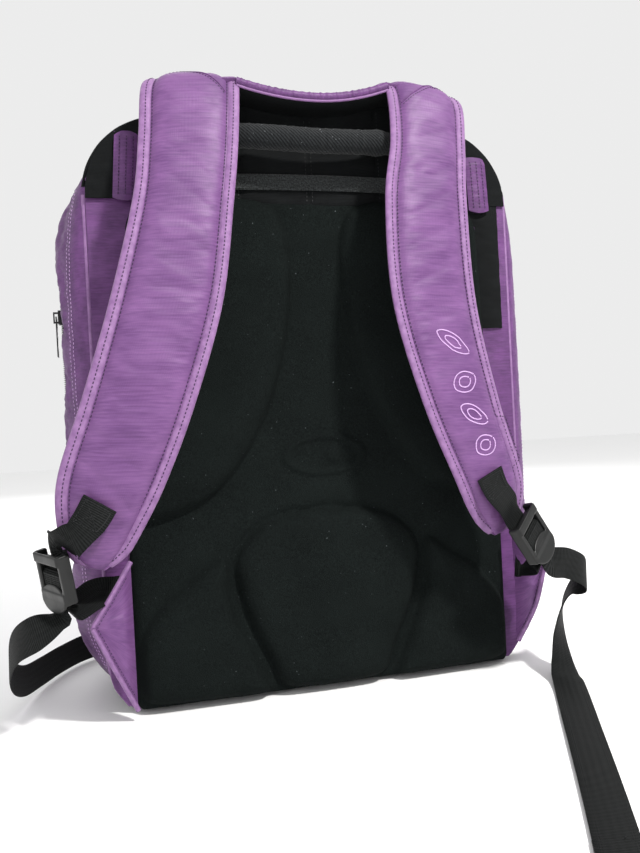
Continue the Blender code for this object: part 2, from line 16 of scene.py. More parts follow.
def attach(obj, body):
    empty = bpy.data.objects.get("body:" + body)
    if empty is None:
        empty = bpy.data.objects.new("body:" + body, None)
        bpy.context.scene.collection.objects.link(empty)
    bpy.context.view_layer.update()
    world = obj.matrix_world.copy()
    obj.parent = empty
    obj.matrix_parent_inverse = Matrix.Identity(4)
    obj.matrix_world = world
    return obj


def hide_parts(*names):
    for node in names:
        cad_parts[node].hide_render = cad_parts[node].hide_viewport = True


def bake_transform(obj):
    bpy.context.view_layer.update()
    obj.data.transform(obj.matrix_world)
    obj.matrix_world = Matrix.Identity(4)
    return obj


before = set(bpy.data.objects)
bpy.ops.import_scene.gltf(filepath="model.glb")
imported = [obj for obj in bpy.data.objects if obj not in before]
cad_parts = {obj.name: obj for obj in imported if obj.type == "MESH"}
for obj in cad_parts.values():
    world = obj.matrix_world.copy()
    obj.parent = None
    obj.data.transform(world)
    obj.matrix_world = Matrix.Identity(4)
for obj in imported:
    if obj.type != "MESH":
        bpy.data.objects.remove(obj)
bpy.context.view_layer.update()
MM = 0.001
SIDES = {"left": -1, "right": 1}

# %% [markdown]
# ## Camera, floor and light
# The lens is a little wider than normal and stands 0.6 m from the back panel, a bit to the left, so the
# left strap looms larger than the right one. The floor is plain and pale. One large soft light stands to the
# right for the shadows that fall to the left, and a broad one in front fills them.

# %% Camera and stage
CAMERA_PLACE = Vector((-0.172, -0.734, 0.2225))
CAMERA_AZIMUTH, CAMERA_ELEVATION, CAMERA_ROLL = (math.radians(a) for a in (-14.9, 0.45, -2.99))
CAMERA_LENS = 33.76


def camera_turn(azimuth, elevation, roll):
    """Columns are the camera's right, up and back directions."""
    back = Vector((math.sin(azimuth) * math.cos(elevation), -math.cos(azimuth) * math.cos(elevation),
                   math.sin(elevation)))
    right = Vector((math.cos(azimuth), math.sin(azimuth), 0.0))
    up = back.cross(right)
    rolled_right = right * math.cos(roll) + up * math.sin(roll)
    rolled_up = up * math.cos(roll) - right * math.sin(roll)
    return Matrix((rolled_right, rolled_up, back)).transposed().to_4x4()


camera_data = bpy.data.cameras.new("camera")
camera_data.lens = CAMERA_LENS
camera_data.clip_start = 0.01
camera = bpy.data.objects.new("camera", camera_data)
camera.matrix_world = (Matrix.Translation(CAMERA_PLACE)
                       @ camera_turn(CAMERA_AZIMUTH, CAMERA_ELEVATION, CAMERA_ROLL))
bpy.context.scene.collection.objects.link(camera)
bpy.context.scene.camera = camera


def area_light(name, place, target, size, power, tint=(1.0, 1.0, 1.0)):
    data = bpy.data.lights.new(name, "AREA")
    data.size = size
    data.energy = power
    data.color = tint
    light = bpy.data.objects.new(name, data)
    light.location = place
    light.rotation_euler = (Vector(target) - Vector(place)).to_track_quat("-Z", "Y").to_euler()
    bpy.context.scene.collection.objects.link(light)


area_light("key", (0.62, -1.30, 1.62), (0, 0, 0.25), 0.14, 50, (1.0, 0.985, 0.96))
area_light("fill", (-1.2, -1.5, 0.7), (0, 0, 0.25), 1.6, 9)
area_light("back_fill", (0.3, 1.8, 1.2), (0, 0, 0.25), 1.6, 16)
world = bpy.data.worlds.new("studio")
world.use_nodes = True
world.node_tree.nodes["Background"].inputs["Color"].default_value = (1.0, 1.0, 1.0, 1.0)
world.node_tree.nodes["Background"].inputs["Strength"].default_value = 0.84
bpy.context.scene.world = world
bpy.context.scene.view_settings.view_transform = "Standard"

bpy.ops.mesh.primitive_plane_add(size=9, location=(0, 0, -0.0006))
floor = bpy.context.object
floor.name = "studio_floor"
floor_paint = bpy.data.materials.new("matt_white_paint")
floor_paint.use_nodes = True
floor_paint.node_tree.nodes["Principled BSDF"].inputs["Base Color"].default_value = (0.92, 0.92, 0.92, 1.0)
floor_paint.node_tree.nodes["Principled BSDF"].inputs["Roughness"].default_value = 0.9
floor.data.materials.append(floor_paint)

# %% [markdown]
# ## Finishes
# Each finish starts from what the stuff is. Woven and knitted ones take their thread spacing in
# millimetres from the piece's UV map, which every fabric piece here carries in metres.

# %% Small tools for materials


def linear(text):
    """sRGB hex to the linear colour that Blender works in."""
    values = [int(text[i:i + 2], 16) / 255 for i in (1, 3, 5)]
    return (*[v / 12.92 if v <= 0.04045 else ((v + 0.055) / 1.055) ** 2.4 for v in values], 1.0)


def add(tree, kind, settings=None, **links):
    """Adds a node, sets its properties and inputs, and links sockets into its inputs."""
    node = tree.nodes.new(kind)
    for key, value in (settings or {}).items():
        if key in node.inputs:
            node.inputs[key].default_value = value
        else:
            setattr(node, key, value)
    for key, socket in links.items():
        tree.links.new(socket, node.inputs[key.replace("_", " ")])
    return node


def new_finish(name, base, roughness, metallic=0.0, sheen=0.0, sheen_roughness=0.3, specular=0.5):
    made = bpy.data.materials.new(name)
    made.use_nodes = True
    shader = made.node_tree.nodes["Principled BSDF"]
    for key, value in (("Base Color", linear(base)), ("Roughness", roughness), ("Metallic", metallic),
                       ("Sheen Weight", sheen), ("Sheen Roughness", sheen_roughness),
                       ("Specular IOR Level", specular)):
        shader.inputs[key].default_value = value
    return made, made.node_tree, shader


def metres(tree, source="uv"):
    """Coordinates in metres: the fabric's own UV map, or the object's."""
    return tree.nodes.new("ShaderNodeTexCoord").outputs["UV" if source == "uv" else "Object"]


def ramp(tree, factor, stops):
    node = add(tree, "ShaderNodeValToRGB")
    while len(node.color_ramp.elements) < len(stops):
        node.color_ramp.elements.new(0.5)
    for element, (position, value) in zip(node.color_ramp.elements, stops):
        element.position = position
        element.color = linear(value) if isinstance(value, str) else (value, value, value, 1.0)
    tree.links.new(factor, node.inputs["Fac"])
    return node.outputs["Color"]


WAVE_LENGTH = 0.314  # metres from crest to crest of a wave texture of scale 1


def threads(tree, coordinates, spacing, direction):
    """A wave whose crests are one thread spacing apart."""
    wave = add(tree, "ShaderNodeTexWave", {"bands_direction": direction, "wave_profile": "SIN"},
               Vector=coordinates)
    wave.inputs["Scale"].default_value = WAVE_LENGTH / spacing
    wave.inputs["Distortion"].default_value = 0.0
    return wave.outputs["Fac"]


def maths(tree, operation, a, b):
    node = add(tree, "ShaderNodeMath", {"operation": operation})
    for socket, value in zip(node.inputs, (a, b)):
        if isinstance(value, (int, float)):
            socket.default_value = value
        else:
            tree.links.new(value, socket)
    return node.outputs["Value"]


def bump(tree, shader, height, depth, strength=1.0, under=None):
    node = add(tree, "ShaderNodeBump", {"Strength": strength, "Distance": depth}, Height=height)
    if under is not None:
        tree.links.new(under, node.inputs["Normal"])
    tree.links.new(node.outputs["Normal"], shader.inputs["Normal"])
    return node.outputs["Normal"]


def paint(tree, shader, factor, stops, socket="Base Color"):
    tree.links.new(ramp(tree, factor, stops), shader.inputs[socket])


def mixed(tree, a, share_a, b, share_b):
    """Weighted sum of two values."""
    return maths(tree, "ADD", maths(tree, "MULTIPLY", a, share_a), maths(tree, "MULTIPLY", b, share_b))


def lint_over(tree, shader, base, lint, shade):
    """Pale specks over a base colour, where the lint value is high."""
    mix = add(tree, "ShaderNodeMix", {"data_type": "RGBA"})
    mix.inputs[7].default_value = linear(shade)
    tree.links.new(lint, mix.inputs[0])
    tree.links.new(base, mix.inputs[6])
    tree.links.new(mix.outputs[2], shader.inputs["Base Color"])


def noise(tree, coordinates, feature, detail=3.0, rough=0.5):
    return add(tree, "ShaderNodeTexNoise", {"Scale": 1.0 / feature, "Detail": detail, "Roughness": rough},
               Vector=coordinates).outputs["Fac"]


# %% Purple nylon, woven with a satin face


def purple_nylon(name, light, dark, crease=0.6):
    """Filament nylon in a plain weave: smooth threads give it lustre, and soft creases break it up."""
    made, tree, shader = new_finish(name, light, 0.42, sheen=0.06, sheen_roughness=0.35, specular=0.3)
    uv = metres(tree)
    weave = maths(tree, "MULTIPLY", threads(tree, uv, 0.9 * MM, "X"), threads(tree, uv, 0.9 * MM, "Y"))
    mottle = noise(tree, uv, 22 * MM, 4.0)
    drawn = add(tree, "ShaderNodeMapping", {"Scale": (0.14, 1.0, 1.0)}, Vector=uv).outputs["Vector"]
    slubs = noise(tree, drawn, 1.5 * MM, 2.0)
    paint(tree, shader, mixed(tree, mottle, 0.55, slubs, 0.45), ((0.36, dark), (0.64, light)))
    paint(tree, shader, mottle, ((0.3, 0.58), (0.7, 0.44)), "Roughness")
    stretched = add(tree, "ShaderNodeMapping", {"Rotation": (0, 0, 0.5), "Scale": (1.0, 2.0, 1.0)},
                    Vector=uv).outputs["Vector"]
    folds = noise(tree, stretched, 26 * MM, 4.0, 0.5)
    under = bump(tree, shader, folds, crease * 1.6 * MM, 0.8)
    bump(tree, shader, weave, 0.12 * MM, 0.5, under)
    return made


NYLON = purple_nylon("satin_woven_nylon_purple", "#6d4878", "#533160")
NYLON_BODY = purple_nylon("satin_woven_nylon_purple_body", "#61386d", "#472752", 1.0)

# %% Binding, piping and threads


def binding_tape(name, light, dark):
    """Grosgrain-like nylon binding: cross ribs 0.8 mm apart, a shade paler than the cloth."""
    made, tree, shader = new_finish(name, light, 0.5, sheen=0.1, sheen_roughness=0.4, specular=0.3)
    uv = metres(tree)
    paint(tree, shader, noise(tree, uv, 6 * MM, 3.0), ((0.3, dark), (0.7, light)))
    bump(tree, shader, threads(tree, uv, 0.8 * MM, "Y"), 0.15 * MM, 0.6)
    return made


def thread(name, shade):
    """Twisted polyester thread: ply lines slant across each stitch."""
    made, tree, shader = new_finish(name, shade, 0.55, sheen=0.05, specular=0.3)
    ply = threads(tree, metres(tree, "object"), 0.5 * MM, "DIAGONAL")
    bump(tree, shader, ply, 0.08 * MM, 0.7)
    return made


BINDING = binding_tape("lilac_nylon_binding", "#86638f", "#6f4d7a")
THREAD_DARK = thread("dark_purple_polyester_thread", "#2a1036")
THREAD_BLACK = thread("black_polyester_thread", "#101214")
THREAD_LILAC = thread("pale_lilac_embroidery_thread", "#cbaad6")

# %% Black stuffs: knit over foam, plain polyester, webbing, mesh and moulded acetal


def knit_foam(name, light, dark):
    """Brushed tricot bonded to foam before moulding: no gloss, a fine loop grain and a little lint."""
    made, tree, shader = new_finish(name, dark, 0.95, specular=0.04)
    place = metres(tree, "object")
    grain = noise(tree, place, 0.9 * MM, 3.0, 0.7)
    patch = noise(tree, place, 40 * MM, 3.0)
    lint = noise(tree, place, 1.7 * MM, 1.0, 0.3)
    base = ramp(tree, mixed(tree, grain, 0.82, patch, 0.18), ((0.34, dark), (0.68, light)))
    lint_over(tree, shader, base, ramp(tree, lint, ((0.80, 0.0), (0.86, 1.0))), "#5b6163")
    bump(tree, shader, grain, 0.5 * MM, 0.8)
    return made


def plain_weave(name, light, dark, spacing, depth, roughness=0.85):
    """Coarse polyester plain weave, flat and dry-looking."""
    made, tree, shader = new_finish(name, dark, roughness, specular=0.12)
    uv = metres(tree)
    weave = maths(tree, "MULTIPLY", threads(tree, uv, spacing, "X"), threads(tree, uv, spacing, "Y"))
    paint(tree, shader, mixed(tree, weave, 0.5, noise(tree, uv, 18 * MM), 0.5), ((0.25, dark), (0.7, light)))
    bump(tree, shader, weave, depth, 0.8)
    return made


def webbing_weave(name, light, dark):
    """Ribbed nylon webbing: ribs run across the tape every 1.5 mm, with the warp crossing them."""
    made, tree, shader = new_finish(name, dark, 0.6, specular=0.1)
    uv = metres(tree)
    height = mixed(tree, threads(tree, uv, 1.5 * MM, "Y"), 0.75, threads(tree, uv, 1.3 * MM, "X"), 0.25)
    paint(tree, shader, height, ((0.1, dark), (0.8, light)))
    bump(tree, shader, height, 0.5 * MM, 0.9)
    return made


def moulded(name, shade, roughness, grit, metallic=0.0, specular=0.5):
    """Injection-moulded or die-cast: a faint spark-eroded grain, smoother where fingers rub."""
    made, tree, shader = new_finish(name, shade, roughness, metallic, specular=specular)
    place = metres(tree, "object")
    grain = noise(tree, place, grit, 2.0, 0.6)
    wear = noise(tree, place, 12 * MM, 2.0)
    paint(tree, shader, wear, ((0.35, roughness + 0.08), (0.7, roughness - 0.08)), "Roughness")
    bump(tree, shader, grain, 0.05 * MM, 0.5)
    return made


def braided_tube(name, light, dark):
    """Coarse braid round the handle: diagonal ribs 2.2 mm apart, worn fuzzy, with pale lint caught on top."""
    made, tree, shader = new_finish(name, dark, 0.92, sheen=0.08, sheen_roughness=0.6, specular=0.1)
    uv = metres(tree)
    slanted = add(tree, "ShaderNodeMapping", {"Rotation": (0, 0, 0.85)}, Vector=uv).outputs["Vector"]
    ribs = threads(tree, slanted, 2.2 * MM, "X")
    fuzz = noise(tree, uv, 1.1 * MM, 3.0, 0.7)
    height = mixed(tree, ribs, 0.6, fuzz, 0.6)
    base = ramp(tree, height, ((0.25, dark), (0.95, light)))
    lint = ramp(tree, noise(tree, uv, 2.3 * MM, 2.0, 0.55), ((0.70, 0.0), (0.76, 1.0)))
    lint_over(tree, shader, base, lint, "#8d9296")
    bump(tree, shader, height, 0.7 * MM, 0.9)
    return made


def loop_pile(name, light, dark):
    """Brushed loop fastener: a random mat of pile with lighter tufts."""
    made, tree, shader = new_finish(name, dark, 0.95, sheen=0.15, sheen_roughness=0.6, specular=0.1)
    uv = metres(tree)
    pile = noise(tree, uv, 1.4 * MM, 3.0, 0.7)
    paint(tree, shader, pile, ((0.38, dark), (0.66, light)))
    bump(tree, shader, pile, 1.2 * MM, 1.0)
    return made


FOAM = knit_foam("black_tricot_over_moulded_foam", "#181d1c", "#080a0a")
HANDLE_KNIT = braided_tube("black_braided_handle_cover", "#1e2123", "#060708")
POLYESTER = plain_weave("black_polyester_plain_weave", "#131617", "#090a0b", 1.0 * MM, 0.2 * MM)
LOOP_PILE = loop_pile("black_brushed_loop_pile", "#35393a", "#090b0b")
WEBBING = webbing_weave("black_ribbed_nylon_webbing", "#181a1a", "#050606")
TAPE = plain_weave("black_zip_tape", "#191a1b", "#0c0d0d", 0.7 * MM, 0.15 * MM)
COIL = moulded("black_nylon_coil", "#17181a", 0.4, 0.6 * MM)
ACETAL = moulded("black_moulded_acetal", "#0f1010", 0.36, 0.5 * MM, specular=0.35)
ZINC = moulded("black_enamelled_zinc", "#1c1c1e", 0.3, 0.4 * MM, 0.6)
LINING = plain_weave("grey_polyester_lining", "#6c6876", "#4f4b58", 0.8 * MM, 0.15 * MM)
POLYETHYLENE = moulded("natural_polyethylene_sheet", "#b9bdbb", 0.5, 0.8 * MM)

# %% [markdown]
# ## Tools for cloth pieces
# A fabric piece starts as a grid primitive, whose points are then put on the surface that the cloth
# takes. Its UV map is stretched to metres, so that threads keep their size. A wrapped grid closes into
# a tube, and its ends are filled.

# %% Shaping helpers


def smooth_span(a, b, c, d, t):
    """Catmull-Rom points between b and c."""
    return 0.5 * (2 * b + (c - a) * t + (2 * a - 5 * b + 4 * c - d) * t ** 2
                  + (3 * b - a - 3 * c + d) * t ** 3)


def travelled(points):
    """Distance along a line up to each of its points."""
    return np.concatenate([[0], np.cumsum(np.linalg.norm(np.diff(points, axis=0), axis=1))])


def spread(points, count):
    """Evenly spaced points on a smooth curve through the given ones."""
    points = np.array(points, float)
    padded = np.vstack([2 * points[0] - points[1], points, 2 * points[-1] - points[-2]])
    t = np.linspace(0, 1, 24, endpoint=False)[:, None]
    spans = [smooth_span(*four, t) for four in zip(padded, padded[1:], padded[2:], padded[3:])]
    fine = np.vstack([*spans, points[-1:]])
    gone = travelled(fine[:, :3])
    wanted = np.linspace(0, gone[-1], count)
    return np.stack([np.interp(wanted, gone, fine[:, k]) for k in range(fine.shape[1])], axis=1), gone[-1]


def at(curve, t):
    """Points on an evenly spaced curve at fractions t of its length."""
    spots = np.linspace(0, 1, len(curve))
    return np.stack([np.interp(t, spots, curve[:, k]) for k in range(curve.shape[1])], axis=-1)


def unit(vectors):
    return vectors / np.maximum(np.linalg.norm(vectors, axis=-1, keepdims=True), 1e-9)


def waves(a, b, seed, longest, count=7, stretch=1.0):
    """Smooth uneven ripples of about the given longest wave, between -1 and 1."""
    draw = np.random.default_rng(seed)
    total = np.zeros(np.broadcast(a, b).shape)
    for k in range(count):
        length = longest * 0.78 ** k
        way = draw.uniform(-0.5, 0.5)
        total = total + np.sin(2 * math.pi * (b * math.cos(way) + stretch * a * math.sin(way)) / length
                               + draw.uniform(0, 2 * math.pi)) * 0.8 ** k
    return total / 2.6


def read_points(data):
    flat = np.empty(len(data.vertices) * 3)
    data.vertices.foreach_get("co", flat)
    return flat.reshape(-1, 3)


def write_points(data, points):
    data.vertices.foreach_set("co", np.ascontiguousarray(points, dtype=float).ravel())


def close_rims(data, weld=False):
    """Fills every open rim with one face; weld first joins the points that lie on each other."""
    form = bmesh.new()
    form.from_mesh(data)
    if weld:
        bmesh.ops.remove_doubles(form, verts=form.verts, dist=1e-6)
    bmesh.ops.holes_fill(form, edges=[e for e in form.edges if e.is_boundary], sides=0)
    bmesh.ops.recalc_face_normals(form, faces=form.faces)
    form.to_mesh(data)
    form.free()


def drop(piece, finish, smooth_angle=50):
    """Gives a piece its finish and soft shading."""
    piece.data.materials.clear()
    piece.data.materials.append(finish)
    piece.data.shade_smooth()
    piece.data.set_sharp_from_angle(angle=math.radians(smooth_angle))
    return piece


def settle(piece):
    """Applies every modifier and leaves the object at the origin, unturned."""
    bpy.ops.object.select_all(action="DESELECT")
    piece.select_set(True)
    bpy.context.view_layer.objects.active = piece
    for modifier in list(piece.modifiers):
        bpy.ops.object.modifier_apply(modifier=modifier.name)
    bpy.ops.object.transform_apply(location=True, rotation=True, scale=True)
    return piece


def cloth(name, across, along, place, size, finish, wrap=False, thickness=0.0, angle=50,
          held=None, air=0.0, most=0.0):
    """A grid shaped by place(u, v), closed into a tube where it wraps, or given a thickness."""
    bpy.ops.object.select_all(action="DESELECT")
    bpy.ops.mesh.primitive_grid_add(x_subdivisions=across, y_subdivisions=along, size=2, calc_uvs=True)
    piece = bpy.context.object
    piece.name = name
    data = piece.data
    data.name = name
    u, v, _ = (read_points(data) + 1).T / 2
    write_points(data, place(u, v))
    layer = data.uv_layers.active.uv
    uv = np.empty(len(layer) * 2)
    layer.foreach_get("vector", uv)
    layer.foreach_set("vector", (uv.reshape(-1, 2) * np.array(size)).ravel())
    if wrap:
        close_rims(data, weld=True)
    if held is not None:
        inflate(piece, held(u, v), air, most)
    if thickness and not wrap:
        wall = piece.modifiers.new("wall", "SOLIDIFY")
        wall.thickness = thickness
        wall.offset = -1.0
        settle(piece)
    data.update()
    return drop(piece, finish, angle)


def inflate(piece, held, air, most, frames=20):
    """A short cloth simulation: air swells slightly oversized cloth between the points that are held."""
    data = piece.data
    rest = read_points(data)
    group = piece.vertex_groups.new(name="held")
    for index in np.flatnonzero(held > 0.01):
        group.add([int(index)], float(held[index]), "REPLACE")
    swell = piece.modifiers.new("air", "CLOTH")
    for key, value in {"quality": 5, "mass": 0.15, "tension_stiffness": 15, "compression_stiffness": 12,
                       "shear_stiffness": 6, "bending_stiffness": 0.4, "use_pressure": True,
                       "uniform_pressure_force": air, "shrink_min": -0.035,
                       "vertex_group_mass": "held"}.items():
        setattr(swell.settings, key, value)
    swell.settings.effector_weights.gravity = 0
    swell.collision_settings.use_collision = False
    swell.point_cache.frame_start = 1
    swell.point_cache.frame_end = frames
    for frame_number in range(1, frames + 1):
        bpy.context.scene.frame_set(frame_number)
    graph = bpy.context.evaluated_depsgraph_get()
    moved = read_points(piece.evaluated_get(graph).data) - rest
    piece.modifiers.remove(swell)
    piece.vertex_groups.remove(group)
    bpy.context.scene.frame_set(1)
    far = np.linalg.norm(moved, axis=1, keepdims=True)
    moved = moved * np.minimum(1.0, most / np.maximum(far, 1e-9))
    write_points(data, rest + moved)
    data.update()
    print(piece.name, "simulated; furthest point", round(float(far.max()) / MM, 1), "mm, kept to", most / MM)


def band(name, route, sides, width, thickness, finish, steps):
    """Flat webbing or tape: a thin rounded section swept along a route."""
    joined = np.hstack([np.array(route, float), np.array(sides, float)])
    curve, length = spread(joined, steps)
    centre, side = curve[:, :3], unit(curve[:, 3:])
    ahead = unit(np.gradient(centre, axis=0))
    side = unit(side - ahead * np.sum(side * ahead, axis=1, keepdims=True))
    face = np.cross(ahead, side)

    def place(u, v):
        turn = 2 * math.pi * u
        x = np.sign(np.cos(turn)) * np.abs(np.cos(turn)) ** 0.35 * width / 2
        y = np.sign(np.sin(turn)) * np.abs(np.sin(turn)) ** 0.7 * thickness / 2
        return at(centre, v) + at(side, v) * x[:, None] + at(face, v) * y[:, None]

    piece = cloth(name, 24, steps - 1, place, (2 * width, length), finish, wrap=True, angle=60)
    return piece, centre, length


STITCH_SUNK = 0.1 * MM
TOWARDS_WEARER = (0.0, -1.0, 0.0)


def stitch_line(name, points, normals, finish, pitch=3.2 * MM, long=2.3 * MM, wide=0.55 * MM, tall=None):
    """A row of separate stitches, each a small lozenge of thread lying on the cloth."""
    points = np.array(points)
    normals = unit(np.array(np.broadcast_to(normals, points.shape), float))
    gone = travelled(points)
    count = int(gone[-1] / pitch)
    verts, faces = [], []
    for k in range(count):
        ends = [(k + 0.5) * pitch - long / 2, (k + 0.5) * pitch + long / 2]
        a, b = (np.array([np.interp(s, gone, points[:, i]) for i in range(3)]) for s in ends)
        out = unit(np.array([np.interp(sum(ends) / 2, gone, normals[:, i]) for i in range(3)]))
        along_way = unit(b - a)
        side = np.cross(along_way, out) * wide / 2
        lift = out * (wide * 0.8 if tall is None else tall)
        first = len(verts)
        base, middle = -out * STITCH_SUNK, (a + b) / 2
        early, late = (a + (b - a) * t + lift * 0.5 for t in (0.25, 0.75))
        verts += [a + base, b + base, early + side, late + side, early - side, late - side,
                  middle + lift, middle - out * (STITCH_SUNK + min(wide, 0.8 * MM))]
        for face in ((0, 2, 6), (2, 3, 6), (3, 1, 6), (0, 6, 4), (4, 6, 5), (5, 6, 1),
                     (0, 7, 2), (2, 7, 3), (3, 7, 1), (0, 4, 7), (4, 5, 7), (5, 1, 7)):
            faces.append([first + i for i in face])
    data = bpy.data.meshes.new(name)
    data.from_pydata([tuple(v) for v in verts], [], faces)
    piece = bpy.data.objects.new(name, data)
    bpy.context.scene.collection.objects.link(piece)
    return drop(piece, finish, 60)


def tube(name, route, radius, finish, sides=12, flat=1.0, side=None, steps=None):
    """A round or oval cord, welt or binding along a route."""
    route = np.array(route, float)
    count = steps or len(route)
    curve, length = spread(route, count)
    ahead = unit(np.gradient(curve, axis=0))
    if side is None:
        side = np.cross(ahead, np.array([0.0, 0.0, 1.0]) + 0 * ahead)
        weak = np.linalg.norm(side, axis=1) < 0.2
        side[weak] = np.cross(ahead[weak], np.array([0.0, 1.0, 0.0]))
    else:
        side = at(np.array(side, float), np.linspace(0, 1, count))
    side = unit(side - ahead * np.sum(side * ahead, axis=1, keepdims=True))
    up = np.cross(ahead, side)
    radii = radius(np.linspace(0, 1, count)) if callable(radius) else np.full(count, radius)

    def place(u, v):
        turn = 2 * math.pi * u
        r = np.interp(v, np.linspace(0, 1, count), radii)
        return (at(curve, v) + at(side, v) * (np.cos(turn) * r)[:, None]
                + at(up, v) * (np.sin(turn) * r * flat)[:, None])

    top = float(np.max(radii))
    return cloth(name, sides, count - 1, place, (2 * math.pi * top, length), finish, wrap=True, angle=60)


def root_piece(piece, slot, *nodes):
    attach(piece, "root")
    if nodes:
        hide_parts(*nodes)
    return piece


def sew(name, slot, *line, **look):
    """A row of stitches on the bag itself."""
    return root_piece(stitch_line(name, *line, **look), slot)


# %% [markdown]
# ## The harness webbing, with its two free tails
# Each strap ends in a patch of 25 mm webbing that holds the top bar of a ladder lock. A second piece comes
# up from the lower corner, turns round the middle bar and hangs free as the tail one pulls to tighten. The
# left tail is swept back round the bag, and the right one falls to the floor after a half twist. Both end
# in a folded hem with a bar tack, so that they can't slip through the lock.

# %% Lock axes and webbing routes
WEB_WIDTH, WEB_THICKNESS = 25 * MM, 1.5 * MM
LOCK_RADIUS, LOCK_RELIEF, WEB_LEAD = 3.6 * MM, 3 * MM, 7 * MM
LOCKS = {
    "left": ((-212, -146, 135), (0.13, 0.15, -0.97), (0.50, -0.85, 0.0)),
    "right": ((142, -161, 133), (0.56, 0.14, -0.81), (0.62, 0.45, 0.60)),
}
STRAP_WEB = {
    "left": (((-179, -170, 174), (-187, -169.5, 162), (-199, -168, 150)), (0.81, 0.0, -0.58)),
    "right": (((115, -163, 174), (121, -162, 161), (130, -162, 149)), (0.90, 0.1, 0.42)),
}
WING_WEB = {
    "left": (((-160, -108, 99), (-172, -112, 101), (-186, -119, 103)), (-0.1, -0.1, -1.0)),
    "right": (((160, -108, 92), (163, -114, 92), (166, -121, 93)), (0.1, 0.1, 1.0)),
}
TAIL_ROUTE = {
    "left": (((-228, -142, 84), (0.50, -0.50, -0.70)), ((-243, -124, 72), (0.25, -0.70, -0.65)),
             ((-251, -98, 52), (0.05, -0.60, -0.80)), ((-252, -66, 33), (0.0, -0.35, -0.95)),
             ((-248, -30, 20), (0.0, -0.20, -0.98)), ((-239, 8, 15), (0.0, -0.10, -1.0)),
             ((-224, 45, 14), (0.0, 0.0, -1.0)), ((-203, 78, 14), (0.0, 0.0, -1.0)),
             ((-172, 100, 14), (0.0, 0.0, -1.0)), ((-135, 112, 14), (0.0, 0.0, -1.0))),
    "right": (((186, -152, 95), (0.50, 0.20, 0.80)), ((205, -145, 86), (0.30, 0.30, 0.90)),
              ((213, -134, 76), (0.30, 0.50, 0.80)), ((206, -123, 66), (0.50, 0.80, 0.30)),
              ((196, -124, 50), (0.60, 0.80, 0.0)), ((189, -131, 28), (0.80, 0.60, 0.0)),
              ((183, -145, 8), (0.92, 0.38, 0.0)), ((173, -168, 2), (0.92, 0.38, 0.0)),
              ((140, -234, 2), (0.90, 0.43, 0.0)), ((92, -330, 2), (0.89, 0.45, 0.0)),
              ((52, -408, 2), (0.89, 0.45, 0.0))),
}


def lock_axes(side):
    """Top bar's middle, then the directions down the lock, along its bars and out of its face."""
    top, length, bars = (np.array(v, float) for v in LOCKS[side])
    down = unit(length)
    across = unit(bars - down * bars.dot(down))
    out = np.cross(across, down)
    return top * MM, down, across, -out if out[1] > 0 else out


def turn_round(axis_point, open_way, out, leg_front, leg_back, steps=12):
    """Webbing that comes in on the front of a bar, turns round it and leaves behind."""
    radius = LOCK_RADIUS + WEB_THICKNESS / 2
    route = [axis_point + open_way * leg_front + out * radius]
    for angle in np.linspace(0, math.pi, steps + 1):
        route.append(axis_point - open_way * (radius * math.sin(angle)) + out * (radius * math.cos(angle)))
    return [*route, axis_point + open_way * leg_back - out * radius]


def middle_turn(side):
    """Width direction of a lock's webbing, and its route round the middle bar."""
    top, down, across, out = lock_axes(side)
    turn = turn_round(top + down * 11 * MM, down, out, 22 * MM, 20 * MM)
    return across if across[0] > 0 else -across, turn


def box_stitch(name, centre, sides, face, start, end):
    """The sewn box with a cross in it that holds a webbing end, in distances along the webbing."""
    gone = travelled(centre)

    def spot(distance, x):
        middle, side, out = (np.array([np.interp(distance, gone, way[:, k]) for k in range(3)])
                             for way in (centre, sides, face))
        out = unit(out)
        return middle + unit(side) * x + out * WEB_THICKNESS * 0.55, out

    half = 9.5 * MM
    corners = [(start, -half), (start, half), (end, half), (end, -half),
               (start, -half), (end, half), (start, half), (end, -half)]
    points, normals = [], []
    for (a, x), (b, w) in zip(corners, corners[1:]):
        for t in np.linspace(0, 1, 7):
            point, out = spot(a + (b - a) * t, x + (w - x) * t)
            points.append(point)
            normals.append(out)
    sew(name, "black_webbing", points, normals, THREAD_BLACK, 2.6 * MM, 1.9 * MM, 0.6 * MM)


# %% The two free tails
for side in SIDES:
    _, down, _, _ = lock_axes(side)
    bar_side, turn = middle_turn(side)
    start = turn[0] + down * LOCK_RELIEF
    stations = TAIL_ROUTE[side]
    route = np.array([turn[0] - down * 5 * MM, start, start + down * WEB_LEAD,
                      *[np.array(p) * MM for p, _ in stations]])
    ways = np.array([bar_side, bar_side, bar_side, *[np.array(w) for _, w in stations]])
    tail, centre, length = band(side + "_webbing_tail", route, ways, WEB_WIDTH, WEB_THICKNESS, WEBBING, 230)
    root_piece(tail, "black_webbing", side + "_tail")
    way_curve = spread(np.hstack([route, ways]), 230)[0][:, 3:]
    hem, _, _ = band(side + "_tail_hem", centre[-16:-1], way_curve[-16:-1], WEB_WIDTH + 0.4 * MM,
                     WEB_THICKNESS * 2.1, WEBBING, 16)
    root_piece(hem, "black_webbing")
    face = np.cross(unit(np.gradient(centre, axis=0)), unit(way_curve))
    if face[-1][2] < -0.2 or face[-1][1] < -0.9:
        face = -face
    for row in (-15, -11):
        x = np.linspace(-10.5, 10.5, 12)[:, None] * MM
        line = centre[row] + unit(way_curve[row]) * x + face[row] * WEB_THICKNESS * 1.05
        sew(f"{side}_tail_tack{row}", "black_webbing", line, face[row], THREAD_BLACK,
                         2.4 * MM, 2.0 * MM, 0.6 * MM)
    print(side, "tail length", round(length, 3))

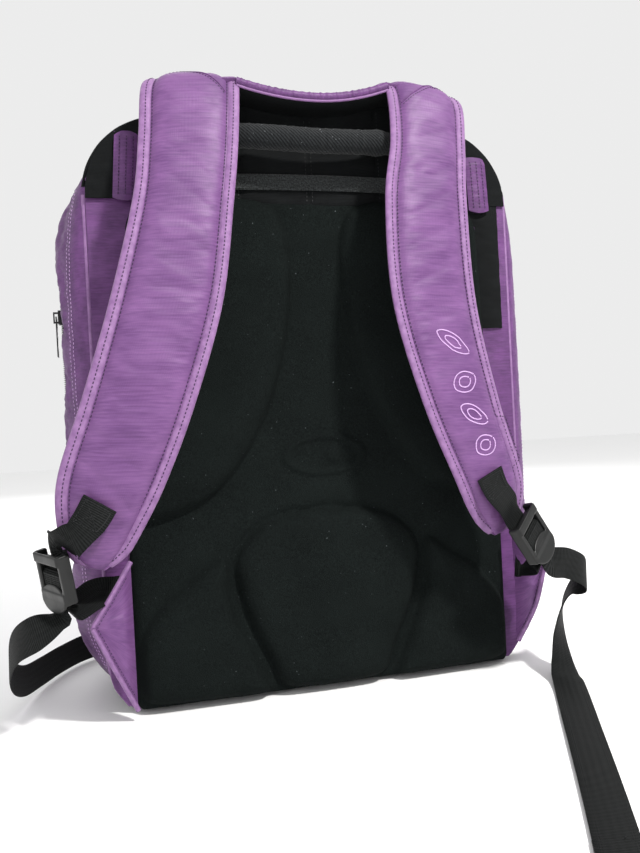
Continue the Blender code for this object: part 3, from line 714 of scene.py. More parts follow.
# %% Patch webbing, turns round the bars and lower webbing
for side in SIDES:
    top, down, _, out = lock_axes(side)
    bar_side, turn = middle_turn(side)
    patch, patch_side = (np.array(v, float) for v in STRAP_WEB[side])
    route = np.array([*patch * MM, *turn_round(top, -down, -out, 9 * MM, 0.5 * MM)])
    ways = np.array([patch_side + (bar_side - patch_side) * min(1.0, i / len(patch))
                     for i in range(len(route))])
    piece, centre, _ = band(side + "_strap_webbing_patch", route, ways, WEB_WIDTH, WEB_THICKNESS, WEBBING, 90)
    root_piece(piece, "black_webbing", side + "_strap_webbing")
    way_curve = spread(np.hstack([route, ways]), 90)[0][:, 3:]
    face = unit(np.cross(unit(np.gradient(centre, axis=0)), unit(way_curve)))
    if face[5][1] > 0:
        face = -face
    box_stitch(side + "_patch_box_stitch", centre, way_curve, face, 2.2 * MM, 19 * MM)
    piece, _, _ = band(side + "_webbing_round_bar", turn, [bar_side] * len(turn), WEB_WIDTH, WEB_THICKNESS,
                       WEBBING, 70)
    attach(piece, side + "_lock")
    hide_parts(side + "_webbing_turn")
    wing_route, wing_side = (np.array(v, float) for v in WING_WEB[side])
    end = turn[-1] + down * LOCK_RELIEF
    wing_route = wing_route * MM
    wing_route[0] = (wing_route[0] + wing_route[1]) / 2
    route = np.array([*wing_route, end + down * WEB_LEAD, end])
    ways = np.array([wing_side + (bar_side - wing_side) * i / 4 for i in range(5)])
    piece, _, _ = band(side + "_lower_corner_webbing", route, ways, WEB_WIDTH, WEB_THICKNESS, WEBBING, 60)
    root_piece(piece, "black_webbing", side + "_lower_webbing")

# %% Ladder locks
# Middle and size of each bar, rail and plate: across, down and out, in millimetres from the top bar.
LOCK_BARS = (((0, 0, 0), (31, 4.2, 4.2)), ((0, 11, 0), (28, 4.0, 4.0)), ((0, 23.5, -0.4), (29, 4.4, 4.0)),
             ((-15.4, 12, 1.8), (4.6, 36, 9.0)), ((15.4, 12, 1.8), (4.6, 36, 9.0)),
             ((0, -2.2, 6.7), (33, 7.5, 2.2)), ((0, 24.5, 6.0), (33, 6, 2.4)))


def ladder_lock(side):
    """Moulded three-bar lock: raised rails, a plate over the strap's loop and a rounded lip one lifts."""
    top, down, across, out = lock_axes(side)
    facing = 1.0 if np.dot(np.cross(across, down), out) > 0 else -1.0
    bars = []
    bpy.ops.object.select_all(action="DESELECT")
    for (x, y, z), size in LOCK_BARS:
        bpy.ops.mesh.primitive_cube_add(size=1, location=(x * MM, y * MM, z * MM * facing))
        cube = bpy.context.object
        cube.scale = [s * MM for s in size]
        edge = cube.modifiers.new("edge", "BEVEL")
        edge.width = 1.3 * MM
        edge.segments = 3
        bars.append(cube)
    lip_place, lip_lean = (0, 27 * MM, 6.0 * MM * facing), (math.radians(7) * facing, 0, 0)
    bpy.ops.mesh.primitive_cylinder_add(vertices=64, radius=1, depth=1, location=lip_place, rotation=lip_lean)
    lip = bpy.context.object
    lip.scale = (16.6 * MM, 10.5 * MM, 2.4 * MM)
    lip.modifiers.new("edge", "BEVEL").width = 0.5 * MM
    bars.append(lip)
    bpy.ops.object.select_all(action="DESELECT")
    for cube in bars:
        bpy.context.view_layer.objects.active = cube
        cube.select_set(True)
        bpy.ops.object.transform_apply(location=True, rotation=True, scale=True)
        bpy.ops.object.modifier_apply(modifier="edge")
    bpy.ops.object.join()
    lock = bpy.context.object
    lock.name = side + "_moulded_ladder_lock"
    skin = lock.modifiers.new("skin", "REMESH")
    skin.mode = "VOXEL"
    skin.voxel_size = 0.5 * MM
    soften = lock.modifiers.new("soften", "SMOOTH")
    soften.factor = 0.5
    soften.iterations = 7
    settle(lock)
    turned = Matrix([list(v) for v in (across, down, np.cross(across, down))]).transposed().to_4x4()
    lock.data.transform(Matrix.Translation(top) @ turned)
    drop(lock, ACETAL, 180)
    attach(lock, side + "_lock")
    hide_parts(side + "_ladder_lock")
    print(lock.name, len(lock.data.polygons), "faces")


for side in SIDES:
    ladder_lock(side)

# %% [markdown]
# ## The moulded back pad
# The pad is foam pressed between heated moulds with its knit cover on, so its raised areas have rounded
# shoulders and the valleys between them are one smooth skin. It is made as a height over the pad's outline:
# each raised area is a closed outline, and the height climbs on a quarter circle from its edge inwards.
# The outlines of the bolster and the hip area are for one side, in millimetres, and are used mirrored too.

# %% Back pad
PAD_BACK_Y = -87.3 * MM
PAD_FIELD_Y = -96.0 * MM
PAD_LOW, PAD_TOP = 2 * MM, 408 * MM
UPPER_BOLSTER = ((-44, 402), (-28, 391), (-20, 361), (-22, 321), (-29, 280), (-42, 239), (-60, 204),
                 (-80, 178), (-98, 163), (-122, 154), (-146, 150), (-156, 160), (-155, 230), (-151, 310),
                 (-147, 372), (-132, 400), (-90, 405), (-62, 405))
LUMBAR_DOME = ((0, 150), (42, 146), (66, 132), (78, 112), (75, 86), (67, 60), (54, 32), (44, 10), (20, 3),
               (-20, 3), (-44, 10), (-54, 32), (-67, 60), (-75, 86), (-78, 112), (-66, 132), (-42, 146))
HIP_DOME = ((-86, 119), (-112, 103), (-138, 84), (-155, 58), (-158, 30), (-150, 8), (-100, 3), (-56, 4),
            (-62, 30), (-74, 57), (-83, 85))


def loop_outline(points, steps=7):
    """A closed smooth outline through points in millimetres."""
    ring = np.array(points, float) * MM
    t = (np.arange(steps) / steps)[:, None]
    return np.vstack([smooth_span(*four, t) for four in zip(*(np.roll(ring, k, 0) for k in (1, 0, -1, -2)))])


def depth_inside(x, z, outline):
    """How far points lie inside an outline; negative outside."""
    best = np.full(x.shape, 1e9)
    inside = np.zeros(x.shape, bool)
    for (ax, az), (bx, bz) in zip(outline, np.roll(outline, -1, axis=0)):
        dx, dz = bx - ax, bz - az
        t = np.clip(((x - ax) * dx + (z - az) * dz) / max(dx * dx + dz * dz, 1e-18), 0, 1)
        best = np.minimum(best, np.hypot(x - ax - t * dx, z - az - t * dz))
        crosses = (az > z) != (bz > z)
        inside ^= crosses & (x < (bx - ax) * (z - az) / (bz - az if bz != az else 1e-12) + ax)
    return np.where(inside, best, -best)


def shoulder(depth, width):
    """A quarter-circle rise over a width, then flat."""
    t = np.clip(depth / width, 0, 1)
    return np.sqrt(1 - (1 - t) ** 2)


def raised(x, z):
    """Height of the moulded areas over the pad's field, with their pressed outlines."""
    height = np.zeros(x.shape)
    for outline, rise, width, dome, reach, sides in (
            (UPPER_BOLSTER, 9.5 * MM, 15 * MM, 3.5 * MM, 55 * MM, (1, -1)),
            (HIP_DOME, 9.0 * MM, 20 * MM, 3.5 * MM, 55 * MM, (1, -1)),
            (LUMBAR_DOME, 8.5 * MM, 15 * MM, 2.5 * MM, 60 * MM, (1,))):
        for side in sides:
            depth = depth_inside(x * side, z, loop_outline(outline))
            height = np.maximum(height, rise * shoulder(depth, width) + dome * shoulder(depth, reach))
            height = height - 1.8 * MM * np.exp(-(depth / (4 * MM)) ** 2)
    ring_way = np.hypot(x / (32 * MM), (z - 194 * MM) / (15 * MM))
    ring_line = np.exp(-((ring_way - 1) / 0.13) ** 4)
    ball = np.exp(-(np.hypot(x - 8 * MM, z - 194 * MM) / (7 * MM)) ** 6)
    return height + 2.2 * MM * np.maximum(ring_line, ball)


def pad_half_width(z):
    """The pad narrows by 10 mm each side towards its top, and its corners are rounded."""
    ease = np.clip((z - 130 * MM) / (200 * MM), 0, 1)
    width = 160 * MM - 10 * MM * ease * ease * (3 - 2 * ease)
    for edge, radius in ((z - PAD_LOW, 7 * MM), (PAD_TOP - z, 30 * MM)):
        short = np.clip(radius - edge, 0, radius)
        width = width - radius + np.sqrt(np.maximum(radius ** 2 - short ** 2, 0))
    return width


def pad_place(u, v):
    across = 2 * u - 1
    across = 0.55 * across + 0.45 * np.sin(across * math.pi / 2)
    up = 2 * v - 1
    up = 0.6 * up + 0.4 * np.sin(up * math.pi / 2)
    z = (PAD_LOW + PAD_TOP) / 2 + up * (PAD_TOP - PAD_LOW) / 2
    half = pad_half_width(z)
    x = across * half
    edge = np.minimum(half - np.abs(x), np.minimum(z - PAD_LOW, PAD_TOP - z))
    face = PAD_FIELD_Y - raised(x, z) + 0.5 * MM * waves(x, z, 3, 90 * MM)
    return np.stack([x, PAD_BACK_Y + (face - PAD_BACK_Y) * shoulder(edge, 11 * MM), z], axis=-1)


pad = cloth("moulded_back_pad", 210, 250, pad_place, (320 * MM, 406 * MM), FOAM, angle=80)
close_rims(pad.data)
root_piece(pad, "black_knit_foam", "back_pad")
print("back pad", len(pad.data.vertices), "points")

# %% [markdown]
# ## Arm straps
# A strap is two nylon faces over foam, 14 mm thick in all. A binding tape is folded round the raw edges and
# sewn through. The foam stops short of the edge, so the section is a crown with thin lips. The thread pulls
# the cloth in at each stitch, which gives the small puckers beside the binding, and bending the strap
# throws the larger creases across its face.

# %% Strap stations: inner and outer edge in millimetres, from the body over the crest to the tip
STRAP_STATIONS = {
    "left": (
        ((-60, -60, 470), (-116, -60, 469)),
        ((-60, -72, 484), (-119, -72, 483)),
        ((-60, -96, 491), (-122, -94, 491)),
        ((-60, -113, 490), (-129, -110, 488)),
        ((-61, -124, 479), (-134, -121, 475)),
        ((-66, -137, 437), (-138, -135, 434)),
        ((-74, -150, 388), (-145, -150, 386)),
        ((-87, -160, 313), (-165, -158, 313)),
        ((-111, -165, 241), (-187, -162, 245)),
        ((-134, -160, 186), (-206, -158, 191)),
        ((-153, -154, 152), (-207, -152, 157)),
        ((-166, -151, 134), (-201, -149, 138)),
        ((-178, -149, 125), (-190, -147, 127)),
    ),
    "right": (
        ((60, -60, 470), (112, -60, 469)),
        ((60, -72, 488), (114, -72, 485)),
        ((60, -96, 496), (117, -94, 491)),
        ((60, -113, 495), (123, -110, 487)),
        ((62, -124, 483), (128, -119, 476)),
        ((58, -137, 441), (124, -128, 436)),
        ((46, -150, 390), (119, -137, 391)),
        ((44, -160, 311), (121, -141, 311)),
        ((62, -165, 234), (134, -146, 231)),
        ((89, -160, 170), (152, -143, 172)),
        ((103, -154, 144), (151, -143, 148)),
        ((117, -149, 128), (140, -143, 131)),
        ((124, -147, 123), (130, -144, 124)),
    ),
}
STRAP_THICK = 14 * MM
LIP = 0.25
LIP_THICK = 2.6 * MM


class Strap:
    """One strap's surface: point(x, v, out) with x from -1 to 1 across and v from 0 to 1 down its length."""

    def __init__(self, side):
        stations = np.array(STRAP_STATIONS[side], float) * MM
        joined = np.hstack([stations[:, 0], stations[:, 1]])
        middle = (joined[:, :3] + joined[:, 3:]) / 2
        curve, self.length = spread(np.hstack([middle, joined]), 161)
        self.inner, self.outer = curve[:, 3:6], curve[:, 6:9]
        ahead = unit(np.gradient(curve[:, :3], axis=0))
        face = unit(np.cross(self.outer - self.inner, ahead))
        self.face = face if face[80][1] < 0 else -face
        gone = np.linalg.norm(np.diff(curve[:, :3], axis=0), axis=1)
        crest = int(np.argmin(np.abs(curve[:60, 1] + 95 * MM)))
        self.crest = float(gone[:crest].sum() / gone.sum())
        self.seed = 11 if side == "left" else 23

    def below(self, v):
        """Fraction of the whole length for a fraction of the part that hangs below the crest."""
        return self.crest + (1 - self.crest) * v

    def crown(self, x, v, out):
        """Distance of either face from the strap's middle sheet."""
        inside = np.clip(np.abs(x) / (1 - LIP), 0, 1)
        foam = (1 - inside ** 3.4) ** 0.62
        ends = shoulder(np.minimum(v + 0.02, 1.0 - v) * self.length, 20 * MM)
        half = LIP_THICK / 2 + (STRAP_THICK - LIP_THICK) / 2 * foam * ends
        down = v * self.length
        across = x * 36 * MM
        beside_lip = np.exp(-((1 - LIP - np.abs(x)) / 0.14) ** 2)
        puckers = 0.5 * MM * beside_lip * waves(across, down, self.seed, 13 * MM)
        creases = (0.8 * MM * waves(across, down + 0.45 * across, self.seed + 1, 46 * MM, 5, 0.9) * (1 - x ** 2)
                   + 0.3 * MM * waves(across, down, self.seed + 2, 15 * MM, 5, 0.5) * (1 - x ** 4))
        sharp = np.abs(waves(across, down + 0.6 * across, self.seed + 3, 62 * MM, 4, 0.9))
        creases = creases - 0.6 * MM * np.exp(-(sharp / 0.10) ** 2) * (1 - x ** 2)
        return half + np.where(out > 0, 1.0, 0.4) * (puckers + creases) * foam * ends

    def point(self, x, v, out):
        inner, outer, face = at(self.inner, v), at(self.outer, v), unit(at(self.face, v))
        middle = (inner + outer) / 2 + (outer - inner) / 2 * x[..., None]
        return middle + face * (self.crown(x, v, out) * out)[..., None]

    def place(self, u, v):
        turn = 2 * math.pi * u
        x = np.cos(turn)
        x = np.sign(x) * np.abs(x) ** 0.75
        out = np.where(np.sin(turn) >= 0, 1.0, -1.0) * np.minimum(1, np.abs(np.sin(turn)) * 5)
        return self.point(x, v, out)


def binding_path(strap):
    """Right round a strap's edge: down the inner edge, round the tip and up the outer edge."""
    v = np.linspace(0, 0.965, 120)
    down = strap.point(np.full(120, -0.90), v, np.zeros(120))
    up = strap.point(np.full(120, 0.90), v[::-1], np.zeros(120))
    tip = strap.point(np.linspace(-0.75, 0.75, 7), np.full(7, 0.985), np.zeros(7))
    return np.vstack([down, tip, up])


STRAPS = {}
for side in SIDES:
    strap = Strap(side)
    STRAPS[side] = strap
    pad_piece = cloth(side + "_arm_strap", 96, 250, strap.place, (150 * MM, strap.length), NYLON, wrap=True)
    root_piece(pad_piece, "purple_nylon", side + "_strap")
    path = binding_path(strap)
    faces = np.vstack([unit(strap.face[np.linspace(0, 158, 120).astype(int)]),
                       np.repeat(strap.face[158:159], 7, axis=0),
                       unit(strap.face[np.linspace(158, 0, 120).astype(int)])])
    flat_way = np.cross(faces, np.gradient(path, axis=0))
    edge = tube(side + "_strap_binding", path, 4.7 * MM, BINDING, 14, 0.5, flat_way, steps=247)
    root_piece(edge, "lilac_piping")
    toward = unit(flat_way)
    toward = toward * np.where(np.sum(toward * (path.mean(axis=0) - path), axis=1) > 0, 1.0, -1.0)[:, None]
    for row, (inward, lift) in enumerate(((0.0, 2.3), (4.9, 2.0))):
        line = path + toward * inward * MM + faces * lift * MM
        sew(f"{side}_strap_edge_stitches_{row}", "lilac_piping", line[4:-4], faces[4:-4], THREAD_DARK,
            3.0 * MM, 2.3 * MM, 0.75 * MM)
    u = np.linspace(0, 1, 40)
    reach = 0.62 - 1.34 * u
    fall = strap.below((0.03 + 0.065 * u ** 2.2) if side == "left" else (0.05 + 0.055 * u ** 2.0))
    across_seam = strap.point(reach, fall, np.ones(40))
    normals = unit(at(strap.face, fall))
    welt = tube(side + "_strap_top_seam", across_seam + normals * 0.1 * MM, 0.65 * MM, NYLON_BODY, 8, steps=60)
    root_piece(welt, "lilac_piping")
    sew(side + "_strap_top_stitches", "lilac_piping", strap.point(reach, fall + 0.006, np.ones(40)), normals,
        THREAD_DARK, 2.8 * MM, 2.1 * MM, 0.7 * MM)
    print(side, "strap length", round(strap.length, 3))

# %% [markdown]
# ## Yoke, neck edge and upper back
# The yoke is the padded saddle that both straps are sewn to. Its neck edge is a soft roll of the same
# nylon, with a lilac welt under it. Below hangs the upper back: two quilted panels with a seam down
# their middle, and a band of loop fastener over the top of the moulded pad.

# %% Yoke and neck roll
NECK_HALF = 62 * MM


def neck_edge(x):
    """Height of the neck's lower edge over the width of the yoke."""
    rise = np.clip(np.abs(x) / NECK_HALF, 0, 1) ** 2
    return (477 + np.where(x < 0, 9, 12) * rise) * MM


def yoke_place(u, v):
    x = (-118 + 230 * u) * MM
    rise = np.clip(np.abs(x) / NECK_HALF, 0, 1) ** 2
    edge = neck_edge(x) - 9 * MM * np.clip((np.abs(x) - NECK_HALF) / (50 * MM), 0, 1) ** 1.5
    lift = 3 * MM * rise
    back = (0, 0.12, 0.3, 0.55, 0.8, 1.0)
    y = np.interp(v, back, np.array((-119, -122, -114, -98, -80, -67)) * MM)
    drop_off = np.interp(v, back, np.array((0, 3.5, 6, 6.5, 5.5, 0)) * MM)
    z = edge + drop_off + lift * np.interp(v, (0, 0.3, 0.8, 1), (0.0, 0.6, 0.6, 0.2))
    down = np.clip((v - 0.55) / 0.45, 0, 1) ** 1.5
    z = z * (1 - down) + 469 * MM * down + 0.7 * MM * waves(x, y, 41, 30 * MM) * np.sin(math.pi * v)
    return np.stack([x, y, z], axis=-1)


yoke = cloth("shoulder_yoke", 90, 40, yoke_place, (264 * MM, 62 * MM), NYLON, thickness=6 * MM)
root_piece(yoke, "purple_nylon", "yoke")


def roll_radius(t):
    return 4.1 * MM + 0.4 * MM * waves(t * 0, t * 130 * MM, 5, 7 * MM)


neck_x = np.linspace(-62, 62, 33) * MM
neck_route = np.stack([neck_x, np.full(33, -121.5 * MM), neck_edge(neck_x) + 1.4 * MM], axis=1)
neck_roll = tube("neck_roll", neck_route, roll_radius, NYLON_BODY, 16, 0.85, steps=140)
root_piece(neck_roll, "purple_nylon")
welt_route = np.stack([neck_x, np.full(33, -123.5 * MM), neck_edge(neck_x) - 2.2 * MM], axis=1)
neck_welt = tube("neck_welt", welt_route, 1.05 * MM, BINDING, 10, steps=66)
root_piece(neck_welt, "lilac_piping")

# %% Upper back panel, its seams and the loop band
PANEL_LOW = 399 * MM


def quilt_place(u, v):
    """Flat against the bag, then turned forward at the top to meet the welt of the neck edge."""
    rise, turn = np.clip(v / 0.8, 0, 1), np.clip((v - 0.8) / 0.2, 0, 1) * math.pi / 2
    x = (-126 + 252 * u) * MM * (1 - 0.12 * rise ** 3)
    top = neck_edge(np.clip(x, -NECK_HALF, NECK_HALF)) - 2.5 * MM
    z = PANEL_LOW + (top - 3.5 * MM - PANEL_LOW) * rise + 3.5 * MM * (1 - np.cos(turn))
    seams = np.minimum(np.abs(x + 1 * MM), np.minimum(np.abs(x + 58 * MM), np.abs(x - 58 * MM)))
    puff = 2.0 * MM * shoulder(seams, 8 * MM) * shoulder(np.minimum(v, 1 - v) * 80 * MM, 10 * MM)
    puff = puff + 0.3 * MM * waves(x, z, 8, 24 * MM) * shoulder(seams, 10 * MM)
    return np.stack([x, -94.8 * MM - puff - 1.5 * MM * rise ** 2 - 25 * MM * np.sin(turn), z], axis=-1)


upper = cloth("upper_back_panel_quilted", 150, 50, quilt_place, (252 * MM, 80 * MM), POLYESTER,
              thickness=1.6 * MM)
root_piece(upper, "black_fabric", "upper_back_panel")
for number, x in enumerate((-3.4 * MM, 1.4 * MM, -60 * MM, 60 * MM)):
    v = np.linspace(0.03, 0.78, 34)
    line = quilt_place((x / (1 - 0.12 * (v / 0.8) ** 3) / MM + 126) / 252, v) - np.array([0, 0.3 * MM, 0])
    sew(f"upper_back_seam_{number}", "black_fabric", line, TOWARDS_WEARER, THREAD_BLACK)


def band_place(u, v):
    x = (-122 + 244 * u) * MM
    z = (408.5 + 13 * v) * MM + 2.5 * MM * np.sin(math.pi * u)
    fuzz = 0.28 * MM * waves(x, z * 1.3, 61, 2.6 * MM, 4)
    return np.stack([x, -98.6 * MM + fuzz - 1.0 * MM * shoulder(np.minimum(v, 1 - v), 0.2), z], axis=-1)


loop_band = cloth("loop_fastener_band", 420, 24, band_place, (244 * MM, 13 * MM), LOOP_PILE, thickness=1.2 * MM)
root_piece(loop_band, "black_webbing", "loop_band")

# %% [markdown]
# ## Haul handle
# A braided tube with a foam cord inside, pinched flat where it is sewn down at both ends. It turns on its
# sewn ends, so the tube rides on the handle's own body; each flat end runs from there to the panel.

# %% Tube and sewn ends
HANDLE_ROUTE = [(-84, -107, 447), (-66, -115, 447.5), (-34, -119, 446), (0, -120, 444.5), (34, -119, 445),
                (66, -115, 446), (84, -107, 446)]


def handle_radius(t):
    """Full in the middle and pinched at both ends, with one swelling where the tube was cut and hemmed."""
    ends = np.abs(2 * t - 1)
    flare = 0.9 * MM * np.exp(-((t - 0.80) / 0.035) ** 2) - 0.6 * MM * np.exp(-((t - 0.86) / 0.02) ** 2)
    return (9.6 - 3.2 * ends ** 7) * MM + flare + 0.25 * MM * waves(t * 0, t * 180 * MM, 71, 9 * MM)


handle = tube("haul_handle_tube", np.array(HANDLE_ROUTE) * MM, handle_radius, HANDLE_KNIT, 40, steps=200)
skin = read_points(handle.data)
skin[:, 2] += 0.22 * MM * waves(skin[:, 1] + skin[:, 2], skin[:, 0], 77, 3.2 * MM, 4)
write_points(handle.data, skin)
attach(handle, "handle")
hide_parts("haul_handle")
for side, sign in SIDES.items():
    route = [(sign * 80, -108, 447), (sign * 89, -102, 447), (sign * 98, -98.5, 447), (sign * 111, -98.2, 447)]
    tab, _, _ = band(side + "_handle_end", np.array(route) * MM, np.tile([0, 0.0, 1.0], (4, 1)), 24 * MM,
                     2.2 * MM, WEBBING, 30)
    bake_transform(tab)
    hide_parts(side + "_handle_anchor")

# %% [markdown]
# ## The body of the bag
# The main compartment is a strip of black cloth bent over an arch and sewn between two walls. The racket
# compartment in front of it and both side pockets are purple. Filled, each panel bellies out between
# its seams, and the cloth keeps shallow folds that run across it.

# %% Arch outlines: half width, top and corner radius, as in the frame
MAIN_ARCH = (178 * MM, 468 * MM, 62 * MM)
RACKET_ARCH = (168 * MM, 440 * MM, 62 * MM)


def grown(shape, by):
    """An arch with the same centres of its corners, moved outwards."""
    return tuple(value + by for value in shape)


def arch(half_width, top, corner, low, inset, count=160):
    """Points over the arch from its lower left to its lower right; the feet turn in by inset."""
    angles = np.linspace(math.pi, math.pi / 2, 12)
    left = np.stack([corner - half_width + corner * np.cos(angles),
                     top - corner + corner * np.sin(angles)], axis=1)
    feet = np.array([[-half_width + inset, low], [-half_width + inset * 0.35, low + 14 * MM],
                     [-half_width, low + 34 * MM]])
    half = np.vstack([feet, left])
    whole = np.vstack([half, half[::-1] * np.array([-1, 1])])
    gone = travelled(whole)
    even = np.linspace(0, gone[-1], count)
    return np.stack([np.interp(even, gone, whole[:, k]) for k in range(2)], axis=1), gone[-1]


def strip_piece(name, shape, y_back, y_front, belly, finish, slot, node, seed, slot_y):
    """A gusset: an arch swept from back to front, bellied out between its two seams."""
    half_width, _, corner = shape
    outline, length = arch(*shape, 3.5 * MM, 16 * MM)
    normal = unit(np.stack([-np.gradient(outline[:, 1]), np.gradient(outline[:, 0])], axis=1))
    depth = y_front - y_back

    def place(u, v):
        spot, out = at(outline, u), at(normal, u)
        y = y_back + depth * v
        rise = (belly * np.sin(math.pi * v) ** 0.8 - 0.6 * MM
                + 0.9 * MM * waves(u * length, y, seed, 46 * MM) * np.sin(math.pi * v))
        near = np.exp(-((y - slot_y) / (16 * MM)) ** 4) * (np.abs(spot[:, 0]) < half_width - corner + 8 * MM)
        rise = rise * (1 - near) - 0.3 * MM * near
        return np.stack([spot[:, 0] + out[:, 0] * rise, y, spot[:, 1] + out[:, 1] * rise], axis=-1)

    root_piece(cloth(name, 300, 40, place, (length, depth), finish, thickness=2 * MM), slot, node)


ZIP_MAIN_Y, ZIP_RACKET_Y, ZIP_SIDE_Y = -30 * MM, 40 * MM, -12 * MM
ZIP_FRONT_Z, ZIP_SIDE_Z = 236 * MM, 230 * MM
strip_piece("main_compartment_gusset", MAIN_ARCH, -87 * MM, 7.7 * MM, 3 * MM, POLYESTER, "black_fabric",
            "main_gusset", 101, ZIP_MAIN_Y)
strip_piece("racket_compartment_gusset", RACKET_ARCH, 8 * MM, 74 * MM, 4 * MM, NYLON_BODY, "purple_nylon",
            "racket_gusset", 103, ZIP_RACKET_Y)


def wall_piece(name, shape, y, bulge, finish, slot, node, seed, thickness=2 * MM):
    """A flat wall inside an arch outline, bulged towards bulge's sign."""
    (half_width, top, corner), low, foot = shape, 4 * MM, 30 * MM

    def place(u, v):
        z = low + (top - low) * v
        over = np.clip(z - (top - corner), 0, corner)
        under = np.clip(low + foot - z, 0, foot)
        half = half_width - corner + np.sqrt(np.maximum(corner ** 2 - over ** 2, 0))
        half = half - 16 * MM * (under / foot) ** 2
        x = (2 * u - 1) * half
        edge = np.minimum(half - np.abs(x), np.minimum(z - low, top - z))
        out = bulge * shoulder(edge, 90 * MM) + 0.8 * MM * waves(x, z, seed, 70 * MM) * shoulder(edge, 40 * MM)
        return np.stack([x, y + out, z], axis=-1)

    piece = cloth(name, 110, 130, place, (2 * half_width, top - low), finish, thickness=thickness)
    root_piece(piece, slot, node)


BACK_WALL = grown(MAIN_ARCH, 1 * MM)
wall_piece("main_back_wall", BACK_WALL, -87.2 * MM, -0.5 * MM, NYLON_BODY, "purple_nylon", "back_wall", 105)
wall_piece("main_front_wall", grown(MAIN_ARCH, -2 * MM), 6 * MM, 1.2 * MM, POLYESTER, "black_fabric", "divider",
           106)
wall_piece("racket_cover_panel", grown(RACKET_ARCH, -1 * MM), 74.5 * MM, 4 * MM, NYLON_BODY, "purple_nylon",
           "racket_cover", 107, thickness=-2 * MM)


def base_place(u, v):
    """The base: a flat panel with rounded corners, pulled up a little round its rim."""
    across, along = 2 * u - 1, 2 * v - 1
    half_y, corner = 80 * MM, 22 * MM
    half_x = (156 - 6 * v) * MM
    y = along * half_y
    over = np.clip(np.abs(y) - (half_y - corner), 0, corner)
    x = across * (half_x - corner + np.sqrt(corner ** 2 - over ** 2))
    edge = np.minimum(half_x - np.abs(x), half_y - np.abs(y))
    return np.stack([x, y - 6.5 * MM, 3.6 * MM * (1 - shoulder(edge, 9 * MM))], axis=-1)


base = cloth("base_panel_coated", 90, 50, base_place, (310 * MM, 160 * MM), POLYESTER, thickness=-2 * MM)
root_piece(base, "black_fabric", "base_panel")

# %% Side pockets and front pocket


def plateau(t, flat_part):
    """1 over the flat part of -1..1, falling to 0 at both ends on a quarter circle."""
    past = np.clip((np.abs(t) - flat_part) / (1 - flat_part), 0, 1)
    return np.sqrt(np.maximum(1 - past ** 2, 0))


def spaced(t, ends=0.7):
    """Fractions -1..1 that crowd towards both ends, where a pocket turns sharply."""
    t = 2 * t - 1
    return (1 - ends) * t + ends * np.sin(t * math.pi / 2)


SIDE_FACE = 202.3 * MM
FRONT_FACE = 105.3 * MM


def side_pocket_place(sign, seed):
    def place(u, v):
        a, b = spaced(u), spaced(v)
        y = (-14 + 72 * a) * MM
        z = (214 + 211 * b) * MM
        low = np.clip((90 * MM - z) / (90 * MM), 0, 1)
        bulge = plateau(a, 0.28) * plateau(b, 0.62)
        x = 177.6 * MM + 24.5 * MM * bulge
        fold = waves(z, y, seed, 60 * MM, 6, 0.7)
        x = x + (1.6 * MM * fold + 0.8 * MM * waves(y, z, seed + 1, 26 * MM)) * bulge ** 2
        near = np.exp(-((y - ZIP_SIDE_Y) / (15 * MM)) ** 4) * np.exp(-((z - ZIP_SIDE_Z) / (112 * MM)) ** 8)
        x = x * (1 - near) + (SIDE_FACE - 0.4 * MM) * near - 26 * MM * low ** 2.2
        return np.stack([sign * x, y, z], axis=-1)
    return place


def pocket_held(u, v):
    """Held along the pocket's seams and along its zip."""
    y, z = (-14 + 72 * spaced(u)) * MM, (214 + 211 * spaced(v)) * MM
    side_seam = np.clip((0.24 - np.minimum(u, 1 - u)) / 0.04, 0, 1)
    rim = np.maximum(side_seam, np.clip(1 - np.minimum(v, 1 - v) / 0.05, 0, 1))
    zip_near = np.exp(-((y - ZIP_SIDE_Y) / (17 * MM)) ** 6) * np.exp(-((z - ZIP_SIDE_Z) / (114 * MM)) ** 10)
    return np.clip(np.maximum(rim * 1.6, zip_near * 1.4), 0, 1)


for side, sign in SIDES.items():
    pocket = cloth(side + "_side_pocket_shell", 64, 130, side_pocket_place(sign, 120 + sign),
                   (190 * MM, 430 * MM), NYLON_BODY, thickness=1.6 * MM * sign, held=pocket_held,
                   air=3.0 * sign, most=4.5 * MM)
    root_piece(pocket, "purple_nylon", side + "_side_pocket")


def front_pocket_place(u, v):
    a, b = spaced(u), spaced(v)
    x = a * 118 * MM
    z = (169 + 123 * b) * MM
    bulge = plateau(a, 0.80) * plateau(b, 0.80)
    y = 77.6 * MM + 27.6 * MM * bulge
    y = y + (1.1 * MM * waves(x, z, 131, 60 * MM) + 0.5 * MM * waves(x, z, 132, 25 * MM)) * bulge ** 2
    near = np.exp(-((z - ZIP_FRONT_Z) / (15 * MM)) ** 4) * np.exp(-(x / (96 * MM)) ** 8)
    y = y * (1 - near) + (FRONT_FACE - 0.4 * MM) * near
    return np.stack([x, y, z], axis=-1)


def front_held(u, v):
    x, z = spaced(u) * 118 * MM, (169 + 123 * spaced(v)) * MM
    rim = np.clip(1 - np.minimum(np.minimum(u, 1 - u), np.minimum(v, 1 - v)) / 0.09, 0, 1)
    zip_near = np.exp(-((z - ZIP_FRONT_Z) / (17 * MM)) ** 6) * np.exp(-(x / (98 * MM)) ** 10)
    return np.clip(np.maximum(rim * 1.6, zip_near * 1.4), 0, 1)


front_pocket = cloth("front_pocket_shell", 90, 90, front_pocket_place, (290 * MM, 300 * MM), NYLON_BODY,
                     thickness=-1.6 * MM, held=front_held, air=-3.0, most=5 * MM)
root_piece(front_pocket, "purple_nylon", "front_pocket")


